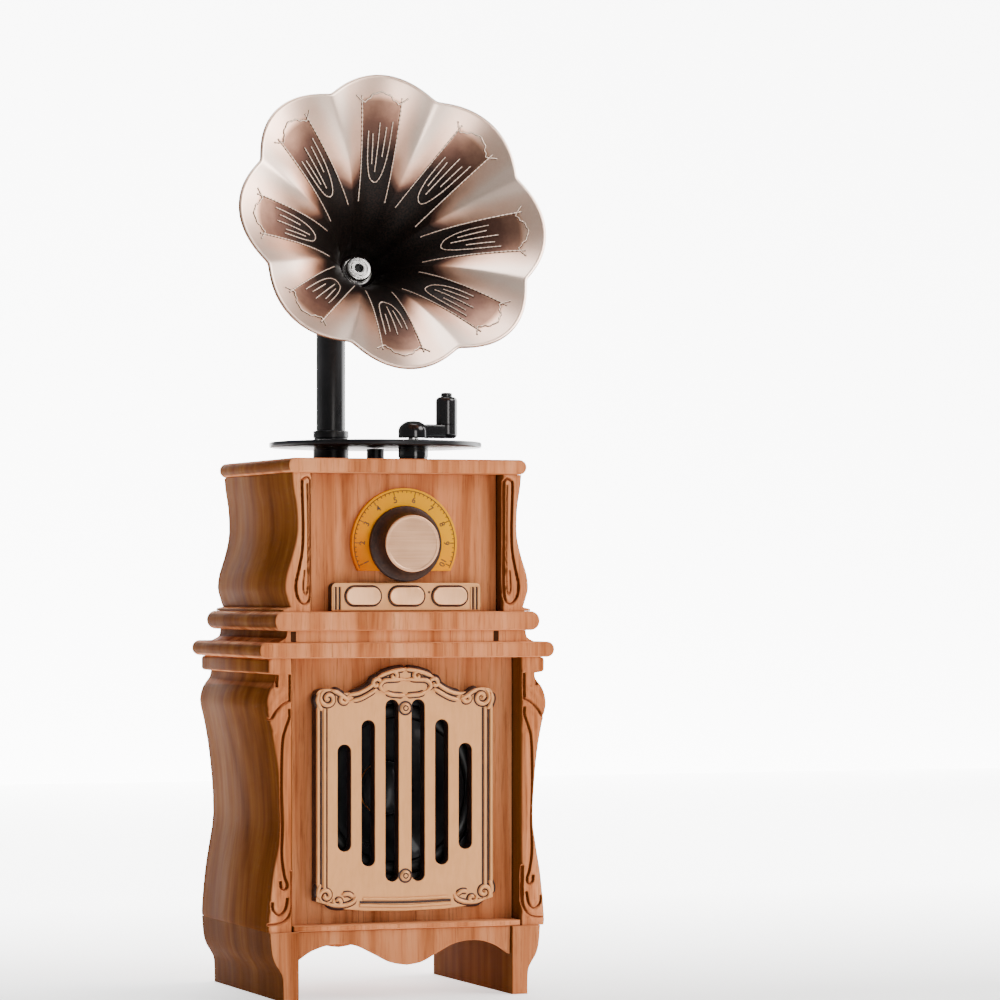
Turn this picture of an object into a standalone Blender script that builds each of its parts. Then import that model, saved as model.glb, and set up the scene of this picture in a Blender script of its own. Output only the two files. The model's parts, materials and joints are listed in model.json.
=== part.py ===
"""Table-top horn loudspeaker: a carved two-tier cabinet with a speaker behind a
slotted grille, a tuning knob, three push buttons, a dummy record, a hand crank
and a petal horn on a bent pipe.

Sizes are millimetres in the cabinet frame: X to the right, Y from the front
faces of the posts and mouldings towards the back, Z up from the surface that
the plinth stands on. The whole object hangs from one empty, which puts the
middle of its bounding box over the world's origin.
"""

import math

import bmesh
import bpy
from mathutils import Matrix, Vector

MM = 0.001          # millimetres to metres
GAP = 0.3           # clearance between pieces that touch
WELD = 1e-6         # metres, for caps and seams

# Where the cabinet frame lies in the world
CENTRE_X = 3.0
FRONT_Y = -26.2

# Cabinet, stacked from the floor up
DEPTH = 69.6
PLINTH_TOP = 19.9
LOWER_BASE = 20.2
LOWER_TOP = 98.5
SLAB_LOW, SLAB_LOW_TOP, SLAB_LOW_HALF = 98.8, 103.1, 45.3
NECK, NECK_TOP, NECK_HALF, NECK_FRONT = 103.4, 106.4, 36.6, 1.2
NECK_NOTCHES = (-34.8, 27.3)
NECK_SIDE = [(39.0, NECK), (37.7, 104.0), (37.0, 104.9), (NECK_HALF, NECK_TOP)]
SLAB_HIGH, SLAB_HIGH_TOP, SLAB_HIGH_HALF = 106.7, 112.0, 40.7
UPPER_BASE = 112.3
UPPER_TOP = 151.95
CAP, CAP_TOP, CAP_HALF = 152.25, 156.3, 36.6
WALL = 2.6
COVER_FRONT = 67.0  # the housings' rear edges, where the covers start
COVER_THICK = 2.0

# Front panels, set back between the corner posts
UPPER_PANEL_HALF, UPPER_PANEL_FRONT = 28.8, 5.9
LOWER_PANEL_HALF, LOWER_PANEL_FRONT = 34.6, 8.1
PANEL_THICK = 2.5
SILL_FRONT, SILL_TOP = 0.6, 21.7
UPPER_CAVITY_HALF = 29.6
LOWER_CAVITY_HALF = 35.2

# Half-width of the sides against height
UPPER_FOOT = [(38.4, UPPER_BASE), (38.4, 113.0)]
UPPER_SIDE = [(36.0, 113.3), (36.9, 116.0), (37.6, 119.0), (37.1, 123.0), (35.5, 128.0),
              (34.2, 133.5), (34.0, 138.0), (34.3, 143.0), (35.1, 148.0), (35.5, UPPER_TOP)]
LOWER_SIDE = [(42.4, LOWER_BASE), (42.6, 21.4), (42.3, 26.5), (41.4, 35.3), (40.1, 43.0),
              (39.0, 51.0), (39.5, 62.0), (40.7, 72.5), (42.1, 80.0), (43.2, 85.2),
              (42.2, 89.3), (40.2, 92.0), (39.7, 94.0)]
CAPITAL_HALF, CAPITAL_LOW = 42.6, 94.3
PLINTH_SIDE = [(36.8, 0.0), (37.0, 6.6), (38.0, 9.2), (39.4, 11.5), (40.3, 14.5), (40.8, PLINTH_TOP)]
FOOT_INNER = 32.0

# Front apron: its lower edge from the middle out to the foot
APRON_FRONT, APRON_THICK = 1.4, 3.0
APRON_EDGE = [(0.0, 10.0), (4.5, 10.7), (9.5, 13.0), (15.0, 15.5), (21.5, 16.1), (27.5, 14.6), (31.7, 11.9)]
LEFT_SPREAD = 1.4           # the left foot stands this much further out than the right

# Speaker and grille
SPEAKER_Z = 60.0
PANEL_HOLE = 26.8
GRILLE_FRONT, GRILLE_FACE, GRILLE_WALL = 2.9, 2.0, 1.3
GRILLE_SLOTS = [(4.0, 33.7, 86.5), (11.3, 38.3, 80.6), (18.6, 42.7, 73.6)]
SLOT_WIDTH = 4.0
GRILLE_EDGE = [(0.0, 25.0), (12.0, 25.3), (22.0, 26.3), (24.6, 27.6), (27.2, 28.4), (27.2, 88.3), (26.0, 89.6),
               (22.4, 89.8), (19.0, 88.7), (14.8, 89.0), (10.6, 90.8), (9.0, 92.4), (7.2, 94.2),
               (3.2, 95.2), (0.0, 95.9)]
GRILLE_SCREWS = (35.3, 84.0)

# Knob, dial and buttons
KNOB_Z = 131.8
KNOB_FACE, KNOB_BACK = -3.2, 3.75
DIAL_RADIUS, DIAL_BOTTOM, DIAL_FRONT = 16.2, 123.9, 4.1
SHAFT_RADIUS = 3.0
PLATE_HALF, PLATE_TOP, PLATE_FRONT = 22.9, 120.45, 2.3
BUTTON_X = {"left": -13.3, "middle": 0.0, "right": 13.3}
BUTTON_Z, BUTTON_SIZE, BUTTON_FRONT = 116.6, (10.5, 5.2), 1.5
BUTTON_TRAVEL = 0.7

# Top furniture
DISC_X, DISC_Y, DISC_RADIUS = 1.5, 35.0, 31.6
DISC_BOTTOM, DISC_TOP = 160.6, 162.2
CRANK_X, CRANK_Y, CRANK_RADIUS = 9.8, 24.7, 4.45
POST_TOP, HUB_BOTTOM, HUB_TOP = 162.9, 163.3, 168.5
ARM_TOP = 167.4
GRIP_REACH, GRIP_RADIUS, GRIP_BOTTOM, GRIP_TOP = 10.5, 3.2, 167.8, 175.7
PIN_TOP = 176.9
HORN_X, HORN_Y = -4.64, 58.9
COLLAR_RADIUS, COLLAR_TOP = 5.35, 166.4

# Horn
TUBE_RADIUS, TUBE_BORE = 4.4, 3.3
ELBOW_Z, ELBOW_RADIUS = 203.9, 12.0
HORN_TILT = math.radians(20)
THROAT_REACH = 26.0         # from the corner of the elbow to the floor of the bell
BELL_LENGTH, THROAT_RADIUS, NOTCH_RADIUS = 37.4, 5.2, 42.5
FLARE = math.log(NOTCH_RADIUS / THROAT_RADIUS) / BELL_LENGTH
PETALS, PETAL_RISE, PETAL_TURN = 8, 4.1, math.radians(-2.1)
BELL_WALL = 0.7

# Rear controls
SWITCH_X, SOCKET_X, REAR_Z = -12.0, 8.0, 122.0
SWITCH_TRAVEL = 2.0


# ---------------------------------------------------------------- scene set-up

def clear_scene():
    for obj in list(bpy.data.objects):
        bpy.data.objects.remove(obj, do_unlink=True)


def collection(name):
    group = bpy.data.collections.new(name)
    bpy.context.scene.collection.children.link(group)
    return group


def material(name, colour, roughness, metallic=0.0):
    made = bpy.data.materials.new(name)
    made.use_nodes = True
    shader = made.node_tree.nodes["Principled BSDF"]
    shader.inputs["Base Color"].default_value = (*colour, 1.0)
    shader.inputs["Roughness"].default_value = roughness
    shader.inputs["Metallic"].default_value = metallic
    return made


clear_scene()
PARTS = collection("horn_loudspeaker")
CUTTERS = collection("cutters")
WOOD = material("walnut", (0.36, 0.17, 0.09), 0.45)
COPPER = material("copper_plate", (0.60, 0.38, 0.27), 0.35, 1.0)
ANTIQUE = material("antique_copper", (0.45, 0.27, 0.20), 0.38, 1.0)
BLACK = material("black_gloss", (0.012, 0.012, 0.013), 0.28)
STEEL = material("steel", (0.62, 0.61, 0.60), 0.25, 1.0)
YELLOW = material("dial_yellow", (0.90, 0.55, 0.03), 0.45)
CONE = material("speaker_black", (0.02, 0.02, 0.02), 0.5)
PLASTIC = material("matt_plastic", (0.05, 0.05, 0.05), 0.6)
BOARD = material("circuit_board", (0.02, 0.16, 0.07), 0.5)
CELL = material("battery_wrap", (0.05, 0.18, 0.45), 0.4)


# ------------------------------------------------------------- pivots and rest

def pivot(name, place, parent=None):
    """An empty at a place in the cabinet frame, on a joint's axis."""
    empty = bpy.data.objects.new(name, None)
    PARTS.objects.link(empty)
    empty["place"] = place
    if parent is None:
        empty.location = (CENTRE_X * MM, FRONT_Y * MM, 0)
    else:
        attach(empty, place, parent)
    return empty


def attach(obj, place, parent):
    """Parent an object and put its origin at a place in the cabinet frame."""
    obj.parent = parent
    obj.location = (Vector(place) - Vector(parent["place"])) * MM


CABINET = pivot("cabinet_frame", (0, 0, 0))
KNOB_AXIS = pivot("knob_axis", (0, 0, KNOB_Z), CABINET)
CRANK_AXIS = pivot("crank_axis", (CRANK_X, CRANK_Y, POST_TOP), CABINET)
GRIP_AXIS = pivot("grip_axis", (CRANK_X + GRIP_REACH, CRANK_Y, GRIP_BOTTOM), CRANK_AXIS)
HORN_AXIS = pivot("horn_axis", (HORN_X, HORN_Y, CAP_TOP), CABINET)


# ---------------------------------------------------------------- outline tools

def arc(centre, radius, start, end, steps):
    """Points on an arc from start to end, in degrees, both ends included."""
    angles = [math.radians(start + (end - start) * i / steps) for i in range(steps + 1)]
    return [(centre[0] + radius * math.cos(a), centre[1] + radius * math.sin(a)) for a in angles]


def circle(centre, radius, steps=24):
    return arc(centre, radius, 0, 360, steps)[:-1]


def through(points, steps=3):
    """A smooth line through the points, with steps pieces to each span."""
    line = [points[0]]
    for i in range(len(points) - 1):
        p0, p1 = points[max(i - 1, 0)], points[i]
        p2, p3 = points[i + 1], points[min(i + 2, len(points) - 1)]
        for k in range(1, steps + 1):
            t = k / steps
            line.append(tuple(
                0.5 * (2 * b + (c - a) * t + (2 * a - 5 * b + 4 * c - d) * t ** 2
                       + (3 * b - a - 3 * c + d) * t ** 3)
                for a, b, c, d in zip(p0, p1, p2, p3)))
    return line


def mirrored(right):
    """A closed outline from its right half, which is listed from bottom to top."""
    return right + [(-x, z) for x, z in reversed(right) if x > 0.01]


def rectangle(x0, z0, x1, z1):
    return [(x0, z0), (x1, z0), (x1, z1), (x0, z1)]


def pill(x, z, width, height, steps=6):
    radius = min(width, height) / 2
    if width > height:
        reach = width / 2 - radius
        return arc((x + reach, z), radius, -90, 90, steps) + arc((x - reach, z), radius, 90, 270, steps)
    reach = height / 2 - radius
    return arc((x, z + reach), radius, 0, 180, steps) + arc((x, z - reach), radius, 180, 360, steps)


def bullnose(half, low, high):
    radius = (high - low) / 2
    return mirrored(arc((half - radius, low + radius), radius, -90, 90, 6))


# ----------------------------------------------------------------- solid tools

def finish(obj, surface, place, parent, angle=35):
    obj.data.materials.clear()
    obj.data.materials.append(surface)
    obj.data.shade_smooth()
    obj.data.set_sharp_from_angle(angle=math.radians(angle))
    attach(obj, place, parent or CABINET)
    return obj


def curve_to_mesh(name, curve, group):
    """Turn a curve into a welded mesh object with its faces pointing out."""
    source = bpy.data.objects.new(name + "_curve", curve)
    bpy.context.scene.collection.objects.link(source)
    graph = bpy.context.evaluated_depsgraph_get()
    mesh = bpy.data.meshes.new_from_object(source.evaluated_get(graph))
    bpy.data.objects.remove(source, do_unlink=True)
    bpy.data.curves.remove(curve)
    shape = bmesh.new()
    shape.from_mesh(mesh)
    bmesh.ops.remove_doubles(shape, verts=shape.verts, dist=WELD)
    bmesh.ops.recalc_face_normals(shape, faces=shape.faces)
    shape.to_mesh(mesh)
    shape.free()
    mesh.name = name
    obj = bpy.data.objects.new(name, mesh)
    group.objects.link(obj)
    return obj


def sheet(name, outlines, thickness):
    """A filled flat outline with holes, thickness shared either side of its plane."""
    curve = bpy.data.curves.new(name, "CURVE")
    curve.dimensions = "2D"
    curve.fill_mode = "BOTH"
    curve.extrude = thickness / 2 * MM
    for points in outlines:
        spline = curve.splines.new("POLY")
        spline.points.add(len(points) - 1)
        spline.use_cyclic_u = True
        for point, (u, v) in zip(spline.points, points):
            point.co = (u * MM, v * MM, 0, 1)
    return curve_to_mesh(name, curve, PARTS)


def upright(name, outlines, front, back, surface, parent=None):
    """An outline in the XZ plane, run from front to back along Y."""
    obj = sheet(name, outlines, back - front)
    obj.rotation_euler = (math.pi / 2, 0, 0)
    return finish(obj, surface, (0, (front + back) / 2, 0), parent)


def flat(name, outlines, low, high, surface, parent=None):
    """An outline in the XY plane, run from low to high along Z."""
    return finish(sheet(name, outlines, high - low), surface, (0, 0, (low + high) / 2), parent)


def turned(name, profile, place, surface, parent=None, rotation=(0, 0, 0), steps=24, skin=False):
    """A solid of revolution; profile holds (radius, height) from top to bottom.
    A profile off the axis is closed into a ring, unless only its skin is wanted."""
    mesh = bpy.data.meshes.new(name)
    closed = profile[0][0] > 0 and profile[-1][0] > 0 and not skin
    count = len(profile)
    edges = [(i, i + 1) for i in range(count - 1)] + ([(count - 1, 0)] if closed else [])
    mesh.from_pydata([(r * MM, 0, h * MM) for r, h in profile], edges, [])
    obj = bpy.data.objects.new(name, mesh)
    PARTS.objects.link(obj)
    screw = obj.modifiers.new("turn", "SCREW")
    screw.steps = steps
    screw.render_steps = steps
    screw.use_merge_vertices = True
    screw.merge_threshold = WELD
    screw.use_smooth_shade = True
    obj.rotation_euler = rotation
    obj.data.materials.append(surface)
    attach(obj, place, parent or CABINET)
    return obj


FACING_FRONT = (math.pi / 2, 0, 0)
FACING_RIGHT = (0, math.pi / 2, 0)


def rod(name, radius, low, high, place, surface, **options):
    return turned(name, [(0, high), (radius, high), (radius, low), (0, low)], place, surface, **options)


def ring(name, bore, radius, low, high, place, surface, **options):
    profile = [(bore, high), (radius, high), (radius, low), (bore, low)]
    return turned(name, profile, place, surface, **options)


def block(name, low, high, surface, parent=None):
    """A box between two corners, from the cube primitive."""
    mesh = bpy.data.meshes.new(name)
    shape = bmesh.new()
    bmesh.ops.create_cube(shape, size=1.0)
    size = [(b - a) * MM for a, b in zip(low, high)]
    bmesh.ops.scale(shape, verts=shape.verts, vec=size)
    shape.to_mesh(mesh)
    shape.free()
    obj = bpy.data.objects.new(name, mesh)
    PARTS.objects.link(obj)
    obj.data.materials.append(surface)
    attach(obj, [(a + b) / 2 for a, b in zip(low, high)], parent or CABINET)
    return obj


def hide_cutter(tool):
    tool.hide_render = True
    tool.display_type = "WIRE"
    if tool.name in PARTS.objects:
        PARTS.objects.unlink(tool)
        CUTTERS.objects.link(tool)
    return tool


def combine(obj, tool, operation, solver="EXACT"):
    step = obj.modifiers.new(operation.lower(), "BOOLEAN")
    step.operation = operation
    step.solver = solver
    step.object = hide_cutter(tool)


def cut(obj, tool, solver="EXACT"):
    combine(obj, tool, "DIFFERENCE", solver)


def join(obj, tool):
    combine(obj, tool, "UNION")


def bore(obj, name, radius, low, high, place, rotation=(0, 0, 0), steps=16):
    """Cut a round hole that runs from low to high along the tool's own Z."""
    cut(obj, rod(name, radius, low, high, place, PLASTIC, rotation=rotation, steps=steps))


def soften(obj, width, segments=2):
    edge = obj.modifiers.new("edges", "BEVEL")
    edge.width = width * MM
    edge.segments = segments
    edge.limit_method = "ANGLE"
    edge.angle_limit = math.radians(50)
    return obj


# --------------------------------------------------------------------- cabinet

def upper_side():
    return UPPER_FOOT + through(UPPER_SIDE, 2)


def lower_side():
    capital = [(CAPITAL_HALF - 0.5, CAPITAL_LOW), (CAPITAL_HALF, CAPITAL_LOW + 0.6),
               (CAPITAL_HALF, LOWER_TOP - 0.5), (CAPITAL_HALF - 0.5, LOWER_TOP)]
    return through(LOWER_SIDE, 2) + capital


def post(name, side, inner, back, sign):
    """A corner post: the side's own curve outside, straight where it meets the panel."""
    low, high = side[0][1], side[-1][1]
    outline = [(inner, low)] + side + [(inner, high)]
    return upright(name, [[(sign * x, z) for x, z in outline]], 0, back, WOOD)


def housing(name, side, cavity, front, low, high):
    hole = rectangle(-cavity, low + WALL, cavity, high - WALL)
    return upright(name, [mirrored(side), hole], front, COVER_FRONT, WOOD)


def rear_cover(name, side, low, high, screws):
    """A flat back that covers the housing's rear edge, with clearance holes."""
    outline = mirrored([(x - 0.4, z) for x, z in side])
    holes = [circle((x, z), 1.3, 12) for x, z in screws]
    return upright(name, [outline] + holes, COVER_FRONT + GAP, COVER_FRONT + GAP + COVER_THICK, WOOD)


def rear_screws(tier, housing_obj, screws):
    """Pan-head screws through the cover into the housing's walls."""
    head_low = COVER_FRONT + GAP + COVER_THICK + GAP / 2
    profile = [(0, head_low + 0.75), (1.2, head_low + 0.6), (1.9, head_low), (0.9, head_low), (0.9, COVER_FRONT - 6)]
    profile.append((0, COVER_FRONT - 6))
    for number, (x, z) in enumerate(screws, 1):
        bore(housing_obj, f"{tier}_screw_hole_{number}", 1.2, -8, 1, (x, COVER_FRONT, z),
             rotation=(-math.pi / 2, 0, 0), steps=12)
        turned(f"{tier}_cover_screw_{number}", profile, (x, 0, z), STEEL, rotation=(-math.pi / 2, 0, 0), steps=12)


def make_upper_tier():
    side = upper_side()
    screws = [(-32.6, 119.0), (32.6, 119.0)]
    back = UPPER_PANEL_FRONT + PANEL_THICK
    post("upper_left_post", side, UPPER_PANEL_HALF + GAP, back, -1)
    post("upper_right_post", side, UPPER_PANEL_HALF + GAP, back, 1)
    panel_holes = [circle((0, KNOB_Z), SHAFT_RADIUS + 1.7, 20)]
    panel_holes += [circle((x, BUTTON_Z), 1.5, 12) for x in BUTTON_X.values()]
    outline = rectangle(-UPPER_PANEL_HALF, UPPER_BASE, UPPER_PANEL_HALF, UPPER_TOP)
    upright("upper_front_panel", [outline] + panel_holes, UPPER_PANEL_FRONT, back, WOOD)
    shell = housing("upper_housing", side, UPPER_CAVITY_HALF, back + GAP, UPPER_BASE, UPPER_TOP)
    cover = rear_cover("upper_back_cover", side[2:], UPPER_BASE, UPPER_TOP, screws)
    cut(cover, block("switch_window", (SWITCH_X - 3.3, 60, REAR_Z - 1.6),
                     (SWITCH_X + 3.3, 75, REAR_Z + 1.6), PLASTIC))
    cut(cover, block("socket_window", (SOCKET_X - 4.9, 60, REAR_Z - 2.0),
                     (SOCKET_X + 4.9, 75, REAR_Z + 2.0), PLASTIC))
    rear_screws("upper", shell, screws)


def make_lower_tier():
    side = lower_side()
    screws = [(-38.4, 26.0), (38.4, 26.0)]
    back = LOWER_PANEL_FRONT + PANEL_THICK
    post("lower_left_post", side, LOWER_PANEL_HALF + GAP, back, -1)
    post("lower_right_post", side, LOWER_PANEL_HALF + GAP, back, 1)
    outline = rectangle(-LOWER_PANEL_HALF, LOWER_BASE, LOWER_PANEL_HALF, LOWER_TOP)
    opening = circle((0, SPEAKER_Z), PANEL_HOLE, 40)
    upright("lower_front_panel", [outline, opening], LOWER_PANEL_FRONT, back, WOOD)
    sill = rectangle(-LOWER_PANEL_HALF, LOWER_BASE, LOWER_PANEL_HALF, SILL_TOP)
    soften(upright("front_sill", [sill], SILL_FRONT, LOWER_PANEL_FRONT - GAP, WOOD), 0.4)
    shell = housing("lower_housing", side, LOWER_CAVITY_HALF, back + GAP, LOWER_BASE, LOWER_TOP)
    rear_cover("lower_back_cover", side, LOWER_BASE, LOWER_TOP, screws)
    rear_screws("lower", shell, screws)


def make_mouldings():
    soften(upright("waist_lower_moulding", [bullnose(SLAB_LOW_HALF, SLAB_LOW, SLAB_LOW_TOP)], 0, DEPTH, WOOD), 0.5)
    neck = upright("waist_neck", [mirrored(NECK_SIDE)], NECK_FRONT, DEPTH - 1, WOOD)
    for x in NECK_NOTCHES:
        cut(neck, block("neck_notch", (x - 0.8, NECK_FRONT - 1, NECK - 1),
                        (x + 0.8, NECK_FRONT + 1, NECK_TOP + 1), PLASTIC))
    soften(upright("waist_upper_moulding", [bullnose(SLAB_HIGH_HALF, SLAB_HIGH, SLAB_HIGH_TOP)], 0, DEPTH, WOOD), 0.5)
    cap = soften(upright("top_cap", [bullnose(CAP_HALF, CAP, CAP_TOP)], 0, DEPTH, WOOD), 0.6)
    bore(cap, "horn_socket", TUBE_RADIUS + GAP, -10, 10, (HORN_X, HORN_Y, CAP), steps=20)
    bore(cap, "axle_socket", 1.8, -10, 10, (CRANK_X, CRANK_Y, CAP))
    bore(cap, "disc_screw_socket", 1.2, -10, 10, (DISC_X, DISC_Y, CAP), steps=12)


def make_plinth():
    side = through(PLINTH_SIDE, 2)
    for name, sign, spread in (("plinth_left_side", -1, LEFT_SPREAD), ("plinth_right_side", 1, 0)):
        outline = [(FOOT_INNER, 0)] + side + [(FOOT_INNER, PLINTH_TOP)]
        upright(name, [[(sign * (x + spread), z) for x, z in outline]], 0, DEPTH, WOOD)
    edge = through(APRON_EDGE, 3) + [(FOOT_INNER - GAP, PLINTH_TOP)]
    stretch = (FOOT_INNER + LEFT_SPREAD - GAP) / (FOOT_INNER - GAP)
    outline = edge + [(-x * stretch, z) for x, z in reversed(edge) if x > 0]
    upright("front_apron", [outline], APRON_FRONT, APRON_FRONT + APRON_THICK, WOOD)
    upright("rear_apron", [outline], DEPTH - APRON_FRONT - APRON_THICK, DEPTH - APRON_FRONT, WOOD)


# --------------------------------------------------------- speaker and grille

def make_grille():
    edge = GRILLE_EDGE[:6] + through(GRILLE_EDGE[5:], 2)[1:]
    slots = [pill(sign * x, (low + high) / 2, SLOT_WIDTH, high - low)
             for x, low, high in GRILLE_SLOTS for sign in (-1, 1)]
    back = LOWER_PANEL_FRONT - GAP
    grille = upright("speaker_grille", [mirrored(edge)] + slots, GRILLE_FRONT, back, COPPER)
    inner = rectangle(-27.2 + GRILLE_WALL, 28.4, 27.2 - GRILLE_WALL, 87.6)
    recess = upright("grille_recess", [inner], GRILLE_FRONT + GRILLE_FACE, back + 1, PLASTIC)
    cut(grille, recess, "MANIFOLD")
    head = GRILLE_FRONT - 0.15
    for name, z in zip(("grille_screw_bottom", "grille_screw_top"), GRILLE_SCREWS):
        bore(grille, name + "_hole", 0.9, -8, 4, (0, 0, z), rotation=FACING_FRONT, steps=12)
        profile = [(0, 0.7 - head), (1.0, 0.6 - head), (1.5, -head), (0.6, -head),
                   (0.6, -head - 2.4), (0, -head - 2.4)]
        turned(name, profile, (0, 0, z), COPPER, rotation=FACING_FRONT, steps=16)


def make_speaker():
    """Heights in these profiles run towards the front, so they are minus Y."""
    centre = (0, 0, SPEAKER_Z)
    flange = LOWER_PANEL_FRONT + PANEL_THICK + GAP
    basket = [(25.2, -flange), (29.5, -flange), (29.5, -flange - 1.5), (26.6, -flange - 1.6), (24.0, -flange - 8),
              (15.6, -29.6), (8.6, -29.6), (8.6, -28.4), (14.8, -28.4), (23.0, -flange - 7.6), (25.2, -flange - 1.4)]
    turned("speaker_basket", basket, centre, PLASTIC, rotation=FACING_FRONT, steps=32)
    roll = [(23.0 + 1.7 * math.cos(a), -flange - 0.6 + 1.2 * math.sin(a))
            for a in [math.radians(d) for d in (180, 144, 108, 72, 36, 0)]]
    under = [(23.0 + 1.2 * math.cos(a), -flange - 0.9 + 0.8 * math.sin(a))
             for a in [math.radians(d) for d in (0, 45, 90, 135, 180)]]
    turned("speaker_surround", roll + under, centre, CONE, rotation=FACING_FRONT, steps=32)
    cone = [(20.9, -flange - 0.3), (20.9, -flange - 1.0), (8.2, -22.4), (8.2, -21.6)]
    turned("speaker_cone", cone, centre, CONE, rotation=FACING_FRONT, steps=32)
    dome = [(0, -17.6), (3.0, -17.9), (5.8, -18.8), (7.8, -20.4), (7.2, -21.2), (0, -21.2)]
    turned("dust_cap", dome, centre, CONE, rotation=FACING_FRONT)
    coil = [(7.3, -22.7), (7.9, -22.7), (7.9, -34.0), (7.3, -34.0)]
    turned("voice_coil", coil, centre, COPPER, rotation=FACING_FRONT, steps=20)
    magnet = [(0, -36.0), (8.3, -36.0), (8.3, -29.9), (15.2, -29.9), (15.2, -39.0), (0, -39.0)]
    turned("speaker_magnet", magnet, centre, STEEL, rotation=FACING_FRONT)


# ------------------------------------------------------------ controls in front

def make_dial_and_knob():
    dip = KNOB_Z - DIAL_BOTTOM
    lift = math.degrees(math.asin(dip / DIAL_RADIUS))
    outline = arc((0, KNOB_Z), DIAL_RADIUS, -lift, 180 + lift, 40)
    hole = circle((0, KNOB_Z), SHAFT_RADIUS + 0.8, 20)
    upright("dial_plate", [outline, hole], DIAL_FRONT, UPPER_PANEL_FRONT - GAP, YELLOW)
    profile = [(0, 3.2), (7.8, 3.2), (8.25, 2.8), (8.3, 1.6), (8.6, 0.2), (9.3, -1.2), (10.3, -2.3), (11.0, -2.8),
               (11.0, -KNOB_BACK), (SHAFT_RADIUS + GAP, -KNOB_BACK), (SHAFT_RADIUS + GAP, 1.2), (0, 1.2)]
    turned("tuning_knob", profile, (0, 0, KNOB_Z), COPPER, parent=KNOB_AXIS, rotation=FACING_FRONT, steps=40)
    rod("tuning_shaft", SHAFT_RADIUS, -12.0, 0.9, (0, 0, KNOB_Z), STEEL, parent=KNOB_AXIS, rotation=FACING_FRONT)
    back = UPPER_PANEL_FRONT + PANEL_THICK + GAP
    pot = [(0, -12.4), (SHAFT_RADIUS + GAP, -12.4), (SHAFT_RADIUS + GAP, -6.2), (4.4, -6.2), (4.4, -back),
           (8.0, -back), (8.0, -15.0), (0, -15.0)]
    turned("potentiometer", pot, (0, 0, KNOB_Z), STEEL, rotation=FACING_FRONT)


def make_buttons():
    back = UPPER_PANEL_FRONT - GAP
    outline = mirrored([(PLATE_HALF, UPPER_BASE), (PLATE_HALF, PLATE_TOP - 1.5), (PLATE_HALF - 0.4, PLATE_TOP - 0.4),
                        (PLATE_HALF - 1.5, PLATE_TOP)])
    width, height = BUTTON_SIZE
    windows = [pill(x, BUTTON_Z, width + 2 * GAP, height + 2 * GAP) for x in BUTTON_X.values()]
    plate = upright("button_plate", [outline] + windows, PLATE_FRONT, back, COPPER)
    recess = upright("button_recess", [rectangle(-20.6, 113.1, 20.6, 120.0)], 3.7, back + 1, PLASTIC)
    cut(plate, recess, "MANIFOLD")
    for side, x in BUTTON_X.items():
        axis = pivot(f"button_{side}_axis", (x, BUTTON_FRONT, BUTTON_Z), CABINET)
        button = upright(f"button_{side}", [pill(x, BUTTON_Z, width, height)], BUTTON_FRONT, 4.4, COPPER, axis)
        flange = upright(f"button_{side}_flange", [pill(x, BUTTON_Z, 11.7, 6.2)], 4.0, 4.7, COPPER, axis)
        stem = rod(f"button_{side}_stem", 1.1, -9.3, -4.3, (x, 0, BUTTON_Z), COPPER, rotation=FACING_FRONT,
                   steps=12, parent=axis)
        join(button, flange)
        join(button, stem)
    board = block("button_board", (-21, 11.3, 114.9), (21, 12.5, 119.9), BOARD)
    for side, x in BUTTON_X.items():
        join(board, block(f"tact_{side}", (x - 1.8, 10.3, BUTTON_Z - 1.5), (x + 1.8, 11.8, BUTTON_Z + 1.5), PLASTIC))


# ----------------------------------------------------------- electrics and rear

def make_electrics():
    block("main_board", (-26, 52.0, 116.5), (26, 53.6, 146.5), BOARD)
    rod("battery", 9.0, -32.5, 32.5, (0, 54.5, 33.5), CELL, rotation=FACING_RIGHT, steps=20)
    socket = block("charging_socket", (SOCKET_X - 4.5, 53.9, REAR_Z - 1.6), (SOCKET_X + 4.5, 68.9, REAR_Z + 1.6), STEEL)
    cut(socket, block("socket_mouth", (SOCKET_X - 4.0, 63.0, REAR_Z - 1.1),
                      (SOCKET_X + 4.0, 70.0, REAR_Z + 1.1), PLASTIC))
    body = block("power_switch_body", (SWITCH_X - 4.5, 60.0, REAR_Z - 2.4), (SWITCH_X + 4.5, 66.7, REAR_Z + 2.4),
                 PLASTIC)
    cut(body, block("switch_track", (SWITCH_X - 3.3, 64.0, REAR_Z - 1.3), (SWITCH_X + 3.3, 68.0, REAR_Z + 1.3),
                    PLASTIC))
    axis = pivot("switch_axis", (SWITCH_X - SWITCH_TRAVEL / 2, COVER_FRONT, REAR_Z), CABINET)
    left = SWITCH_X - SWITCH_TRAVEL / 2 - 1.7
    block("power_switch_slider", (left, 64.4, REAR_Z - 1.0), (left + 3.4, 69.5, REAR_Z + 1.0), PLASTIC, parent=axis)


# ------------------------------------------------------------------------- top

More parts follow.
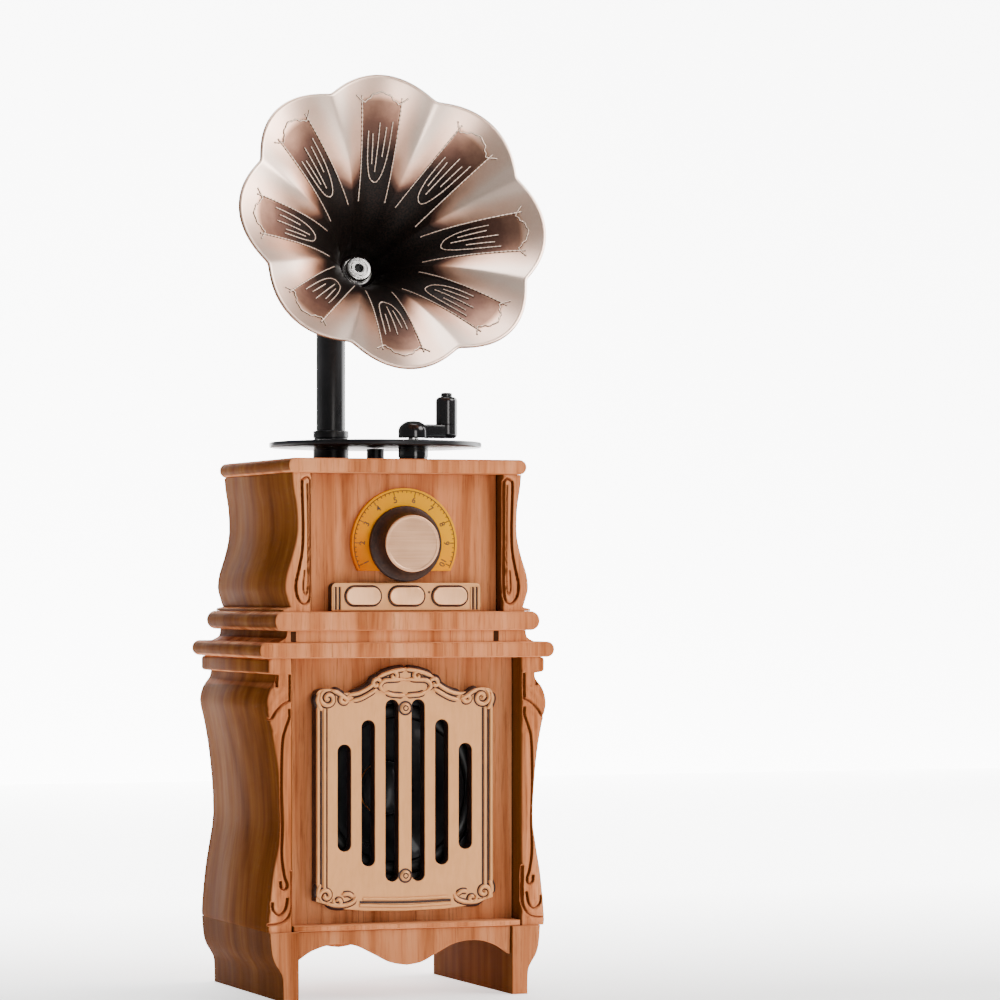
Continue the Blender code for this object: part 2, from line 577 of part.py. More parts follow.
def make_disc():
    centre = (DISC_X, DISC_Y, 0)
    profile = [(1.3, DISC_TOP - 0.8), (2.9, DISC_TOP - 0.8), (2.9, DISC_TOP), (DISC_RADIUS - 0.5, DISC_TOP),
               (DISC_RADIUS, DISC_TOP - 0.4), (DISC_RADIUS, DISC_BOTTOM + 0.4), (DISC_RADIUS - 0.5, DISC_BOTTOM),
               (1.3, DISC_BOTTOM)]
    disc = turned("record_disc", profile, centre, BLACK, steps=56)
    bore(disc, "disc_collar_hole", COLLAR_RADIUS + GAP, 158, 165, (HORN_X, HORN_Y, 0), steps=20)
    bore(disc, "disc_crank_hole", CRANK_RADIUS + GAP, 158, 165, (CRANK_X, CRANK_Y, 0), steps=20)
    ring("disc_boss", 1.3, 2.6, CAP_TOP + GAP, DISC_BOTTOM - GAP, centre, BLACK, steps=16)
    top = DISC_TOP + 0.1
    screw = [(0, top), (2.3, top), (2.5, top - 0.2), (2.5, top - 0.6), (0.9, top - 0.6), (0.9, CAP + GAP),
             (0, CAP + GAP)]
    turned("disc_screw", screw, centre, STEEL, steps=16)


def make_crank():
    centre = (CRANK_X, CRANK_Y, 0)
    bearing = [(1.8, POST_TOP), (CRANK_RADIUS - 0.3, POST_TOP), (CRANK_RADIUS, POST_TOP - 0.3),
               (CRANK_RADIUS, CAP_TOP + GAP), (1.8, CAP_TOP + GAP)]
    turned("crank_bearing", bearing, centre, BLACK)
    hub = [(0, HUB_TOP), (2.2, HUB_TOP - 0.35), (3.7, HUB_TOP - 1.3), (CRANK_RADIUS, HUB_TOP - 2.8),
           (CRANK_RADIUS, HUB_BOTTOM), (1.8, HUB_BOTTOM), (1.8, ARM_TOP + 0.1), (0, ARM_TOP + 0.1)]
    arm = turned("crank_arm", hub, centre, BLACK, parent=CRANK_AXIS)
    tip = CRANK_X + GRIP_REACH
    near = math.degrees(math.acos((CRANK_RADIUS - GRIP_RADIUS) / GRIP_REACH))
    root = (CRANK_X + 3.2, CRANK_Y)
    bar = arc((tip, CRANK_Y), GRIP_RADIUS, -90, 90, 8) + arc(root, 2.4, near, -near, 2)
    spoke = flat("arm_spoke", [bar, circle((tip, CRANK_Y), 1.5, 16)], HUB_BOTTOM, ARM_TOP, BLACK, CRANK_AXIS)
    join(arm, spoke)
    rod("crank_axle", 1.5, CAP + GAP, ARM_TOP - 0.3, centre, STEEL, parent=CRANK_AXIS, steps=16)
    place = (tip, CRANK_Y, 0)
    grip = [(1.5, GRIP_TOP), (2.3, GRIP_TOP - 0.2), (2.9, GRIP_TOP - 0.9), (GRIP_RADIUS, GRIP_TOP - 2.2),
            (GRIP_RADIUS, GRIP_BOTTOM + 0.2), (GRIP_RADIUS - 0.2, GRIP_BOTTOM), (1.5, GRIP_BOTTOM)]
    turned("crank_grip", grip, place, BLACK, parent=GRIP_AXIS)
    pin = [(0, PIN_TOP), (1.2, PIN_TOP - 0.1), (1.6, PIN_TOP - 0.5), (1.6, GRIP_TOP + 0.2), (1.2, GRIP_TOP + 0.2),
           (1.2, HUB_BOTTOM + 0.2), (0, HUB_BOTTOM + 0.2)]
    turned("crank_pin", pin, place, BLACK, parent=CRANK_AXIS, steps=16)


# ------------------------------------------------------------------------ horn

def pipe_path(start, end):
    """The pipe's middle line in (Y, Z), from a height to a reach past the elbow's corner."""
    turn = math.pi / 2 - HORN_TILT
    setback = ELBOW_RADIUS * math.tan(turn / 2)
    centre = (HORN_Y - ELBOW_RADIUS, ELBOW_Z - setback)
    bend = arc(centre, ELBOW_RADIUS, 0, math.degrees(turn), 8)
    tip = (HORN_Y - end * math.cos(HORN_TILT), ELBOW_Z + end * math.sin(HORN_TILT))
    return [(HORN_Y, start)] + bend + [tip]


def pipe(name, radius, start, end, group, resolution):
    """A round bar along the pipe's line; its origin is on the horn's vertical axis."""
    curve = bpy.data.curves.new(name, "CURVE")
    curve.dimensions = "3D"
    curve.bevel_depth = radius * MM
    curve.bevel_resolution = resolution
    curve.use_fill_caps = True
    line = pipe_path(start, end)
    spline = curve.splines.new("POLY")
    spline.points.add(len(line) - 1)
    for point, (y, z) in zip(spline.points, line):
        point.co = (0, (y - HORN_Y) * MM, (z - CAP_TOP) * MM, 1)
    return curve_to_mesh(name, curve, group)


def make_pipe():
    low = CAP + GAP
    tube = pipe("horn_tube", TUBE_RADIUS, low, THROAT_REACH - BELL_WALL - GAP, PARTS, 5)
    finish(tube, BLACK, (HORN_X, HORN_Y, CAP_TOP), HORN_AXIS)
    hollow = pipe("horn_tube_bore", TUBE_BORE, low - 2, THROAT_REACH + 2, CUTTERS, 3)
    finish(hollow, BLACK, (HORN_X, HORN_Y, CAP_TOP), HORN_AXIS)
    cut(tube, hollow)
    collar = [(TUBE_RADIUS + GAP, COLLAR_TOP), (COLLAR_RADIUS - 0.3, COLLAR_TOP), (COLLAR_RADIUS, COLLAR_TOP - 0.3),
              (COLLAR_RADIUS, CAP_TOP + GAP), (TUBE_RADIUS + GAP, CAP_TOP + GAP)]
    turned("horn_collar", collar, (HORN_X, HORN_Y, 0), BLACK)


def petal_wave(angle):
    """1 along the middle of a petal and 0, with a crease, in the notch beside it."""
    return abs(math.cos(angle * PETALS / 2)) ** 0.8


def make_bell():
    """A flared turned sheet, pressed into petals, then given its thickness."""
    stations = 10
    floor = [(1.7, 0.0), (THROAT_RADIUS, 0.0)]
    flare = [(THROAT_RADIUS * math.exp(FLARE * BELL_LENGTH * i / stations), BELL_LENGTH * i / stations)
             for i in range(1, stations + 1)]
    bell = turned("horn_bell", list(reversed(floor + flare)), throat(), ANTIQUE, parent=HORN_AXIS,
                  rotation=HORN_ROTATION, steps=PETALS * 6, skin=True)
    graph = bpy.context.evaluated_depsgraph_get()
    mesh = bpy.data.meshes.new_from_object(bell.evaluated_get(graph))
    bell.modifiers.clear()
    bell.data = mesh
    for vertex in mesh.vertices:
        x, y, z = vertex.co / MM
        wave = petal_wave(math.atan2(y, x))
        share = max(z, 0.0) / BELL_LENGTH
        radius = math.hypot(x, y)
        grown = radius + PETAL_RISE * wave * share ** 1.3
        vertex.co.x *= grown / radius
        vertex.co.y *= grown / radius
    mesh.transform(Matrix.Rotation(PETAL_TURN, 4, "Z"))
    shell = bell.modifiers.new("sheet", "SOLIDIFY")
    shell.thickness = BELL_WALL * MM
    shell.offset = 1.0
    mesh.shade_smooth()


HORN_ROTATION = (math.pi / 2 - HORN_TILT, 0, 0)


def throat():
    """Where the bell's floor crosses the horn's axis."""
    return (HORN_X, HORN_Y - THROAT_REACH * math.cos(HORN_TILT), ELBOW_Z + THROAT_REACH * math.sin(HORN_TILT))


def make_horn_fixing():
    """Heights run along the horn's axis, towards its mouth, from the bell's floor."""
    options = {"parent": HORN_AXIS, "rotation": HORN_ROTATION}
    ring("horn_washer", 1.7, 4.6, GAP, GAP + 0.5, throat(), STEEL, **options)
    seat = GAP + 0.5 + GAP
    screw = [(0, seat + 0.5), (1.3, seat + 0.5), (1.3, seat + 1.9), (3.4, seat + 1.9), (3.9, seat + 1.4),
             (3.9, seat), (1.3, seat), (1.3, -7.0), (0, -7.0)]
    turned("horn_screw", screw, throat(), STEEL, **options)
    ring("horn_insert", 1.65, TUBE_BORE - GAP, -9.0, -1.6, throat(), STEEL, **options)


# ------------------------------------------------------------------------ build

make_plinth()
make_lower_tier()
make_mouldings()
make_upper_tier()
make_grille()
make_speaker()
make_dial_and_knob()
make_buttons()
make_electrics()
make_disc()
make_crank()
make_pipe()
make_bell()
make_horn_fixing()
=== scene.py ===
"""Looks for the table-top horn loudspeaker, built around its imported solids.

Sizes are millimetres in the cabinet frame: X to the right, Y from the front
faces of the posts and mouldings towards the back, Z up from the floor.
"""

import json
from math import asin, cos, degrees, exp, hypot, log, pi, radians, sin, sqrt, tan

import bmesh
import bpy
import numpy as np
from mathutils import Matrix, Vector

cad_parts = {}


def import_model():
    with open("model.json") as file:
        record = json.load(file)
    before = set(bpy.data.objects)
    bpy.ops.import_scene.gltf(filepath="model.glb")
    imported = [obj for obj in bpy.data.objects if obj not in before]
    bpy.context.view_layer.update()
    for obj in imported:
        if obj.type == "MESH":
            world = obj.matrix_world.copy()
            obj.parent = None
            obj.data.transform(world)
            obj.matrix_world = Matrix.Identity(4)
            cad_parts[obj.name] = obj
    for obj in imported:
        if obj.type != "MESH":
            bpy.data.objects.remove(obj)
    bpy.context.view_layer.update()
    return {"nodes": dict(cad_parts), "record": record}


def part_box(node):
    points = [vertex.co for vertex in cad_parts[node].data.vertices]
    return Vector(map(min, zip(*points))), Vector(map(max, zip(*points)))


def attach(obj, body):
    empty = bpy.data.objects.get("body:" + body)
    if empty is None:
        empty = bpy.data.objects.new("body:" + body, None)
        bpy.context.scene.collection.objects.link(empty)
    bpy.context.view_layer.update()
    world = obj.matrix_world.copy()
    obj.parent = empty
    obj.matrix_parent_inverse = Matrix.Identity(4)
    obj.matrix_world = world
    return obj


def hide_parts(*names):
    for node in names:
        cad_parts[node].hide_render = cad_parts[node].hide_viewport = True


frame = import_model()

MM = 0.001
SLAB_LOW, SLAB_HIGH = [[v / MM for v in corner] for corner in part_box("waist_lower_moulding")]
CENTRE_X = (SLAB_LOW[0] + SLAB_HIGH[0]) / 2
FRONT_Y = SLAB_LOW[1]
DEPTH = SLAB_HIGH[1] - FRONT_Y


def node_box(node):
    """A node's lowest and highest corners in the cabinet frame."""
    return [[v / MM - start for v, start in zip(corner, (CENTRE_X, FRONT_Y, 0))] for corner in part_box(node)]


def world(x, y, z):
    """A place in the cabinet frame, in metres in the world."""
    return Vector(((x + CENTRE_X) * MM, (y + FRONT_Y) * MM, z * MM))


# ---- outlines

def arc(centre, radius, start, end, steps):
    angles = [radians(start + (end - start) * i / steps) for i in range(steps + 1)]
    return [(centre[0] + radius * cos(a), centre[1] + radius * sin(a)) for a in angles]


def circle(centre, radius, steps=64):
    return arc(centre, radius, 0, 360, steps)[:-1]


def through(points, steps=6):
    """A smooth line through the points (Catmull-Rom)."""
    line = [tuple(points[0])]
    for i in range(len(points) - 1):
        ends = (points[max(i - 1, 0)], points[i], points[i + 1], points[min(i + 2, len(points) - 1)])
        for k in range(1, steps + 1):
            t = k / steps
            line.append(tuple(
                0.5 * (2 * b + (c - a) * t + (2 * a - 5 * b + 4 * c - d) * t ** 2
                       + (3 * b - a - 3 * c + d) * t ** 3)
                for a, b, c, d in zip(*ends)))
    return line


def mirrored(right):
    """A closed outline from its right half, listed from bottom to top."""
    return right + [(-x, z) for x, z in reversed(right) if x > 0.01]


def rectangle(x0, z0, x1, z1):
    return [(x0, z0), (x1, z0), (x1, z1), (x0, z1)]


def pill(x, z, width, height):
    """A rectangle about (x, z) with its corners rounded until its short ends are half circles."""
    radius, steps = min(width, height) / 2, 14
    right, up = width / 2 - radius, height / 2 - radius
    return [point for turn, (a, b) in enumerate(((1, -1), (1, 1), (-1, 1), (-1, -1)))
            for point in arc((x + a * right, z + b * up), radius, 90 * turn - 90, 90 * turn, steps)]


# ---- materials

class Nodes:
    """A new material, with short names for the texture nodes that the materials share."""

    def __init__(self, name):
        self.made = bpy.data.materials.new(name)
        self.made.use_nodes = True
        self.tree = self.made.node_tree
        self.place = self.node("ShaderNodeTexCoord", {}, "Object")

    def feed(self, socket, value):
        """Link a texture to a socket, or set a constant on it."""
        if isinstance(value, bpy.types.NodeSocket):
            self.tree.links.new(value, socket)
        else:
            socket.default_value = (*value, 1) if socket.type == "RGBA" else value

    def node(self, kind, inputs, output, **settings):
        """One output of a new node with these settings and inputs."""
        made = self.tree.nodes.new(kind)
        for key, value in settings.items():
            setattr(made, key, value)
        for key, value in inputs.items():
            self.feed(made.inputs[key], value)
        return made.outputs[output]

    def noise(self, scale, detail=3.0, roughness=0.55, warp=0.0):
        """Noise with one scale, or with a scale for each axis."""
        place = self.place
        if isinstance(scale, tuple):
            place = self.node("ShaderNodeMapping", {"Vector": place, "Scale": scale}, "Vector")
            scale = 1.0
        return self.node("ShaderNodeTexNoise", {"Vector": place, "Scale": scale, "Detail": detail,
                                                "Roughness": roughness, "Distortion": warp}, "Fac")

    def ramp(self, factor, stops):
        tone = self.node("ShaderNodeValToRGB", {"Fac": factor}, "Color")
        points = tone.node.color_ramp.elements
        while len(points) < len(stops):
            points.new(0.5)
        for point, (position, colour) in zip(points, stops):
            point.position = position
            point.color = (*colour, 1)
        return tone

    def span(self, factor, low, high, to_low=0.0, to_high=1.0):
        return self.node("ShaderNodeMapRange", {"Value": factor, "From Min": low, "From Max": high,
                                                "To Min": to_low, "To Max": to_high}, "Result")

    def mix(self, factor, a, b):
        """Two colours mixed; the node's sockets 6, 7 and 2 are the ones for colours."""
        return self.node("ShaderNodeMix", {"Factor": factor, 6: a, 7: b}, 2, data_type="RGBA")

    def maths(self, kind, a, b=0.0):
        return self.node("ShaderNodeMath", {0: a, 1: b}, "Value", operation=kind)

    def bump(self, height, distance, strength):
        return self.node("ShaderNodeBump", {"Height": height, "Distance": distance, "Strength": strength},
                         "Normal")

    def split(self, vector, axis):
        return self.node("ShaderNodeSeparateXYZ", {"Vector": vector}, axis)

    def layer(self, name):
        """The value that a mesh carries under this name."""
        return self.node("ShaderNodeAttribute", {}, "Fac", attribute_name=name)

    def finished(self, looks):
        """The material, with these constants and textures on its shader."""
        for key, value in looks.items():
            self.feed(self.tree.nodes["Principled BSDF"].inputs[key], value)
        return self.made


def facing_mask(kit, axis):
    """1 on faces that look along the axis, either way, and 0 on the others."""
    normal = kit.node("ShaderNodeNewGeometry", {}, "Normal")
    return kit.span(kit.maths("ABSOLUTE", kit.split(normal, axis)), 0.55, 0.8)


def along_grain(kit, level, detail, rough, across, along, warp=0.0):
    """Noise drawn out up the walls, and from left to right on level faces."""
    upright = kit.noise((across, across, along), detail, rough, warp)
    lying = kit.noise((along, across, across), detail, rough, warp)
    change = kit.maths("MULTIPLY", kit.maths("SUBTRACT", lying, upright), level)
    return kit.maths("ADD", upright, change)


MATT_IOR = 1.04      # printed film and paper, which hardly reflect at a grazing angle


def make_wood(name, shade=1.0):
    """Walnut-look film: fine upright pores, warm bands, arched figure and painted shade on the sides, and
    painted shade in carved grooves.
    """
    def tone(red, green, blue):
        return red * shade, green * shade, blue * shade

    kit = Nodes(name)
    level = facing_mask(kit, "Z")
    bands = along_grain(kit, level, 4, 0.6, 130, 9, 0.6)
    front = kit.ramp(bands, [(0.28, tone(0.26, 0.068, 0.019)), (0.44, tone(0.47, 0.155, 0.057)),
                             (0.56, tone(0.60, 0.222, 0.090)), (0.72, tone(0.68, 0.280, 0.122))])
    swell = kit.noise((16, 24, 7), 2, 0.45, 0.5)
    contour = kit.maths("PINGPONG", kit.maths("MULTIPLY", swell, 9.0), 1.0)
    streaks = kit.noise((260, 260, 12), 3, 0.6)
    figure = kit.maths("ADD", kit.maths("MULTIPLY", contour, 0.27), kit.maths("MULTIPLY", streaks, 0.73))
    # The sides' ramp holds their own arched figure, in tones far darker than the front's: painted shade, laid
    # below on faces that look left or right.
    side = kit.ramp(figure, [(0.18, tone(0.062, 0.016, 0.003)), (0.42, tone(0.102, 0.030, 0.005)),
                             (0.60, tone(0.130, 0.042, 0.008)), (0.80, tone(0.165, 0.060, 0.013))])
    pores = along_grain(kit, level, 4, 0.7, 1500, 70)
    grained = kit.mix(kit.span(pores, 0.52, 0.70, 0.0, 0.5), kit.mix(facing_mask(kit, "X"), front, side),
                      tone(0.12, 0.030, 0.008))
    # The cavity layer mixes in painted shade, darkening the carved posts' grooves.
    return kit.finished({"Base Color": kit.mix(kit.layer("cavity"), grained, tone(0.16, 0.032, 0.007)),
                         "Roughness": kit.span(bands, 0.3, 0.7, 0.62, 0.48),
                         "Normal": kit.bump(pores, 0.00006, 0.5), "IOR": MATT_IOR})


def make_metal(name, light, dark, roughness, grain, metallic=1.0):
    """Plated metal with fine brushing; grain is how tightly it varies along each axis."""
    kit = Nodes(name)
    brush = kit.noise(grain, 3, 0.7)
    cloud = kit.noise(90)
    tone = kit.maths("ADD", kit.maths("MULTIPLY", brush, 0.6), kit.maths("MULTIPLY", cloud, 0.4))
    return kit.finished({"Base Color": kit.ramp(tone, [(0.36, dark), (0.60, light)]),
                         "Roughness": kit.span(cloud, 0.3, 0.7, roughness - 0.06, roughness + 0.08),
                         "Normal": kit.bump(brush, 0.00002, 0.35), "Metallic": metallic})


def make_moulded(name, colour, roughness, texture=700, coat=0.0, shine=0.4):
    """Moulded or painted surface with a faint orange peel and uneven gloss."""
    kit = Nodes(name)
    cloud = kit.noise(60)
    lift = tuple(min(1.0, c * 1.25 + 0.003) for c in colour)
    return kit.finished({"Base Color": kit.mix(kit.span(cloud, 0.3, 0.7), colour, lift),
                         "Roughness": kit.span(cloud, 0.3, 0.7, roughness - 0.05, roughness + 0.07),
                         "Normal": kit.bump(kit.noise(texture, 2), 0.00003, 0.25),
                         "Coat Weight": coat, "Specular IOR Level": shine})


def make_bell_metal():
    """Antiqued copper: a layer on the mesh says how dark each point is drawn, from the panels' patina, the
    darkening into the throat, and a painted highlight along the creases.
    """
    kit = Nodes("antique_copper")
    uneven = kit.maths("SUBTRACT", kit.noise((160, 160, 160), 3, 0.7), 0.5)
    darkness = kit.maths("ADD", kit.layer("patina_and_highlight"), kit.maths("MULTIPLY", uneven, 0.14))
    fine = kit.noise(1900, 2, 0.6)
    tone = kit.ramp(darkness, [(0.02, (0.98, 0.75, 0.62)), (0.22, (0.88, 0.54, 0.39)), (0.42, (0.46, 0.25, 0.17)),
                           (0.62, (0.13, 0.065, 0.048)), (0.82, (0.012, 0.007, 0.006)),
                           (1.0, (0.003, 0.003, 0.003))])
    return kit.finished({"Base Color": kit.mix(kit.span(fine, 0.35, 0.65, 0, 0.06), tone, (0.25, 0.12, 0.08)),
                         "Roughness": kit.span(darkness, 0.1, 0.9, 0.30, 0.42),
                         "Normal": kit.bump(fine, 0.00001, 0.15),
                         "Metallic": kit.span(darkness, 0.6, 0.95, 0.95, 0.5), "Specular IOR Level": 0.25})


def make_dial_yellow():
    """Yellow print, darker and redder towards its left edge and its foot."""
    kit = Nodes("dial_yellow")
    left_and_foot_darkening = kit.maths("ADD", kit.span(kit.split(kit.place, "X"), -0.014, 0.004, 0.55, 0),
                     kit.span(kit.split(kit.place, "Z"), 0.124, 0.138, 0.45, 0))
    cloud = kit.maths("MULTIPLY", kit.maths("SUBTRACT", kit.noise(240), 0.5), 0.3)
    tone = kit.ramp(kit.maths("ADD", left_and_foot_darkening, cloud), [(0.1, (0.70, 0.30, 0.0)), (0.55, (0.66, 0.20, 0.0)),
                                                    (0.95, (0.52, 0.09, 0.0))])
    return kit.finished({"Base Color": tone, "Roughness": kit.span(kit.noise(400), 0.3, 0.7, 0.48, 0.6),
                         "IOR": MATT_IOR})


WOOD = make_wood("walnut_grain")
# A near-black copy of the walnut: painted shade in the neck's notches.
SHADOW_WOOD = make_wood("walnut_shadow", 0.08)
# A darker copy of the walnut for the plinth and aprons: painted shade, as less light reaches them than the
# boards above.
SHADED_LOW_WOOD = make_wood("walnut_plinth_shaded", 0.80)
COPPER = make_metal("copper_plate", (0.66, 0.30, 0.112), (0.60, 0.265, 0.095), 0.45, (900, 60, 200), 0.5)
BUTTON_METAL = make_metal("button_copper", (0.92, 0.49, 0.25), (0.85, 0.42, 0.20), 0.36, (900, 60, 200), 0.7)
# Near-black copper for painted shade: walls of recesses, grooves, shadows beside raised work, rosette wells
# and the knob's side.
SHADOW_COPPER = make_metal("copper_shadow", (0.045, 0.018, 0.010), (0.018, 0.007, 0.005), 0.5, (500, 500, 500),
                         0.4)
KNOB_METAL = make_metal("knob_copper", (0.68, 0.38, 0.22), (0.56, 0.29, 0.16), 0.33, (60, 60, 2600), 0.85)
BELL_METAL = make_bell_metal()
BELL_BACK = make_metal("bell_back", (0.30, 0.145, 0.085), (0.12, 0.055, 0.032), 0.42, (200, 200, 200), 0.8)
# Pale copper for the engraved lines: a painted highlight on their raised crests.
HIGHLIGHT_COPPER = make_metal("copper_engraving_highlight", (0.97, 0.76, 0.62), (0.90, 0.66, 0.52), 0.45, (700, 700, 700), 0.5)
BLACK = make_moulded("black_gloss", (0.005, 0.005, 0.006), 0.30, shine=0.22)
CRANK_BLACK = make_moulded("crank_black", (0.004, 0.004, 0.005), 0.14, shine=0.5)
STEEL = make_metal("steel", (0.78, 0.77, 0.76), (0.55, 0.54, 0.53), 0.26, (900, 900, 900))
YELLOW = make_dial_yellow()
INK = make_moulded("dial_ink", (0.06, 0.025, 0.004), 0.5)
PLASTIC = make_moulded("black_plastic", (0.016, 0.016, 0.017), 0.45)
PAPER = make_moulded("speaker_paper", (0.014, 0.014, 0.016), 0.30, 1500, coat=0.3)
ROLL = make_moulded("rubber_roll", (0.012, 0.012, 0.012), 0.38)
BOARD = make_moulded("circuit_board", (0.02, 0.16, 0.07), 0.4)
CELL = make_moulded("battery_wrap", (0.03, 0.13, 0.42), 0.35)

# Each slot's surfaces; the first is also the look of the slot's solids that stay.
SURFACES = {"walnut_grain": (WOOD, SHADOW_WOOD, SHADED_LOW_WOOD), "copper_plate": (COPPER, BUTTON_METAL, SHADOW_COPPER),
            "knob_copper": (KNOB_METAL,), "antique_copper": (BELL_METAL, BELL_BACK, HIGHLIGHT_COPPER),
            "dial_yellow": (YELLOW, INK), "black_gloss": (BLACK, CRANK_BLACK), "steel": (STEEL,),
            "black_plastic": (PLASTIC,), "rubber_roll": (ROLL,), "speaker_paper": (PAPER,),
            "circuit_board": (BOARD,), "battery_wrap": (CELL,)}


# ---- piece makers

def new_object(name, data):
    made = bpy.data.objects.new(name, data)
    bpy.context.scene.collection.objects.link(made)
    return made


def settle(obj, surface, body="cabinet", replaces=(), angle=40):
    """Give a finished mesh its material and shading, hang it under its body, and hide the solids it replaces.
    """
    obj.data.materials.clear()
    obj.data.materials.append(surface)
    obj.data.shade_smooth()
    obj.data.set_sharp_from_angle(angle=radians(angle))
    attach(obj, body)
    if replaces:
        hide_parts(*replaces)
    return obj


def mesh_object(name, verts, faces):
    mesh = bpy.data.meshes.new(name)
    mesh.from_pydata([tuple(v) for v in verts], [], faces)
    mesh.update()
    return new_object(name, mesh)


def tidy(obj):
    """Weld an object's mesh and turn its faces out."""
    shape = bmesh.new()
    shape.from_mesh(obj.data)
    bmesh.ops.remove_doubles(shape, verts=shape.verts, dist=1e-6)
    bmesh.ops.recalc_face_normals(shape, faces=shape.faces)
    shape.to_mesh(obj.data)
    shape.free()
    return obj


def new_curve(name, kind="CURVE", lines=(), cyclic=False, **settings):
    """A curve with one run of straight steps for each line of points in metres."""
    curve = bpy.data.curves.new(name, kind)
    for key, value in settings.items():
        setattr(curve, key, value)
    for line in lines:
        spline = curve.splines.new("POLY")
        spline.points.add(len(line) - 1)
        spline.use_cyclic_u = cyclic
        for point, place in zip(spline.points, line):
            point.co = (*place, 1)
    return curve


def curve_mesh(name, curve):
    source = new_object(name + "_source", curve)
    graph = bpy.context.evaluated_depsgraph_get()
    mesh = bpy.data.meshes.new_from_object(source.evaluated_get(graph))
    bpy.data.objects.remove(source, do_unlink=True)
    mesh.name = name
    return tidy(new_object(name, mesh))


def slab(name, loops, thickness, edge, segments):
    """A level sheet with the loops as its outline and holes, and its edges rounded over."""
    lines = [[(u * MM, v * MM, 0) for u, v in points] for points in loops]
    return curve_mesh(name, new_curve(
        name, lines=lines, cyclic=True, dimensions="2D", fill_mode="BOTH", offset=-edge * MM,
        extrude=(thickness / 2 - edge) * MM, bevel_depth=edge * MM, bevel_resolution=segments))


def extruded(name, loops, front, back, edge, segments=2):
    """An outline in the XZ plane run from front to back along Y."""
    obj = slab(name, loops, back - front, edge, segments)
    obj.data.transform(Matrix.Translation(world(0, (front + back) / 2, 0)) @ FORWARD)
    return obj


FORWARD = Matrix.Rotation(pi / 2, 4, "X")
UPWARD = Matrix.Identity(4)


def lathe(name, profile, place, turn=UPWARD, segments=96, loop=False):
    """A turned mesh; profile holds (radius, height), top to bottom on its outer side."""
    verts, rows = [], []
    for radius, height in profile:
        if radius < 1e-6:
            rows.append([len(verts)])
            verts.append((0, 0, height * MM))
            continue
        rows.append(range(len(verts), len(verts) + segments))
        for k in range(segments):
            a = 2 * pi * k / segments
            verts.append((radius * cos(a) * MM, radius * sin(a) * MM, height * MM))
    pairs = list(zip(rows, rows[1:])) + ([(rows[-1], rows[0])] if loop else [])
    faces = []
    for upper, lower in pairs:
        for k in range(segments):
            n = (k + 1) % segments
            ring = [row[i % len(row)] for row, i in ((upper, k), (lower, k), (lower, n), (upper, n))]
            faces.append(tuple(dict.fromkeys(ring)))
    obj = mesh_object(name, verts, faces)
    obj.data.transform(Matrix.Translation(world(*place)) @ turn)
    return tidy(obj)


def tube(name, lines, radius, resolution, cyclic=False):
    """Round bars along lines of world points; each point may carry its own share of the radius."""
    pairs = [[entry if isinstance(entry, tuple) else (entry, 1.0) for entry in line] for line in lines]
    curve = new_curve(
        name, lines=[[place for place, _ in line] for line in pairs], cyclic=cyclic, dimensions="3D",
        bevel_depth=radius * MM, bevel_resolution=resolution, use_fill_caps=True)
    for spline, line in zip(curve.splines, pairs):
        spline.points.foreach_set("radius", [share for _, share in line])
    return curve_mesh(name, curve)


# ---- stage

def make_stage():
    """A pale floor that brightens towards the back, a white card behind it, and a faint sky."""
    kit = Nodes("pale_floor")
    glow = kit.span(kit.split(kit.place, "Y"), -0.05, 0.35, 0.6, 5.5)
    pale = kit.finished({"Base Color": (0.90, 0.90, 0.89), "Roughness": 0.85, "Emission Color": (1, 1, 1),
                         "Emission Strength": glow})
    white = Nodes("backdrop_glow").finished({"Base Color": (1, 1, 1), "Emission Color": (1, 1, 1),
                                             "Emission Strength": 6.0})
    for name, surface, (x0, y0, z0), (x1, y1, z1) in (
            ("floor", pale, (-2.6, -1.4, 0), (2.6, 1.6, 0)),
            ("backdrop", white, (-0.15, 1.30, -0.3), (0.95, 1.30, 0.9))):
        sheet = mesh_object(name, [(x0, y0, z0), (x1, y0, z0), (x1, y1, z1), (x0, y1, z1)], [(0, 1, 2, 3)])
        sheet.data.materials.append(surface)
    sky = bpy.data.worlds.new("studio")
    sky.use_nodes = True
    light = sky.node_tree.nodes["Background"].inputs
    light["Color"].default_value = (1.0, 0.985, 0.97, 1)
    light["Strength"].default_value = 0.28
    bpy.context.scene.world = sky


def area_light(name, place, target, size, power, colour=(1, 1, 1)):
    data = bpy.data.lights.new(name, "AREA")
    data.size = size
    data.energy = power
    data.color = colour
    light = new_object(name, data)
    light.location = place
    light.rotation_euler = (Vector(target) - Vector(place)).to_track_quat("-Z", "Y").to_euler()


def make_lights():
    middle, warm = (0, 0, 0.14), (1.0, 0.97, 0.94)
    area_light("key", (0.70, -0.60, 0.70), middle, 0.6, 12, warm)
    area_light("fill", (0.05, -1.5, 0.24), middle, 0.45, 4.5, warm)
    area_light("side_box", (0.95, 0.30, 0.40), (0, 0, 0.23), 0.8, 20)
    area_light("overhead", (-0.05, -0.10, 1.15), (0, 0, 0.2), 0.6, 5.5)


def make_camera():
    data = bpy.data.cameras.new("camera")
    data.lens = 151.6
    data.sensor_width = 36
    data.shift_y = 0.086
    camera = new_object("camera", data)
    camera.location = world(-400.9, -1153.5, 119.5)
    camera.rotation_euler = (pi / 2, 0, radians(-20.4))
    bpy.context.scene.camera = camera


# ---- cabinet

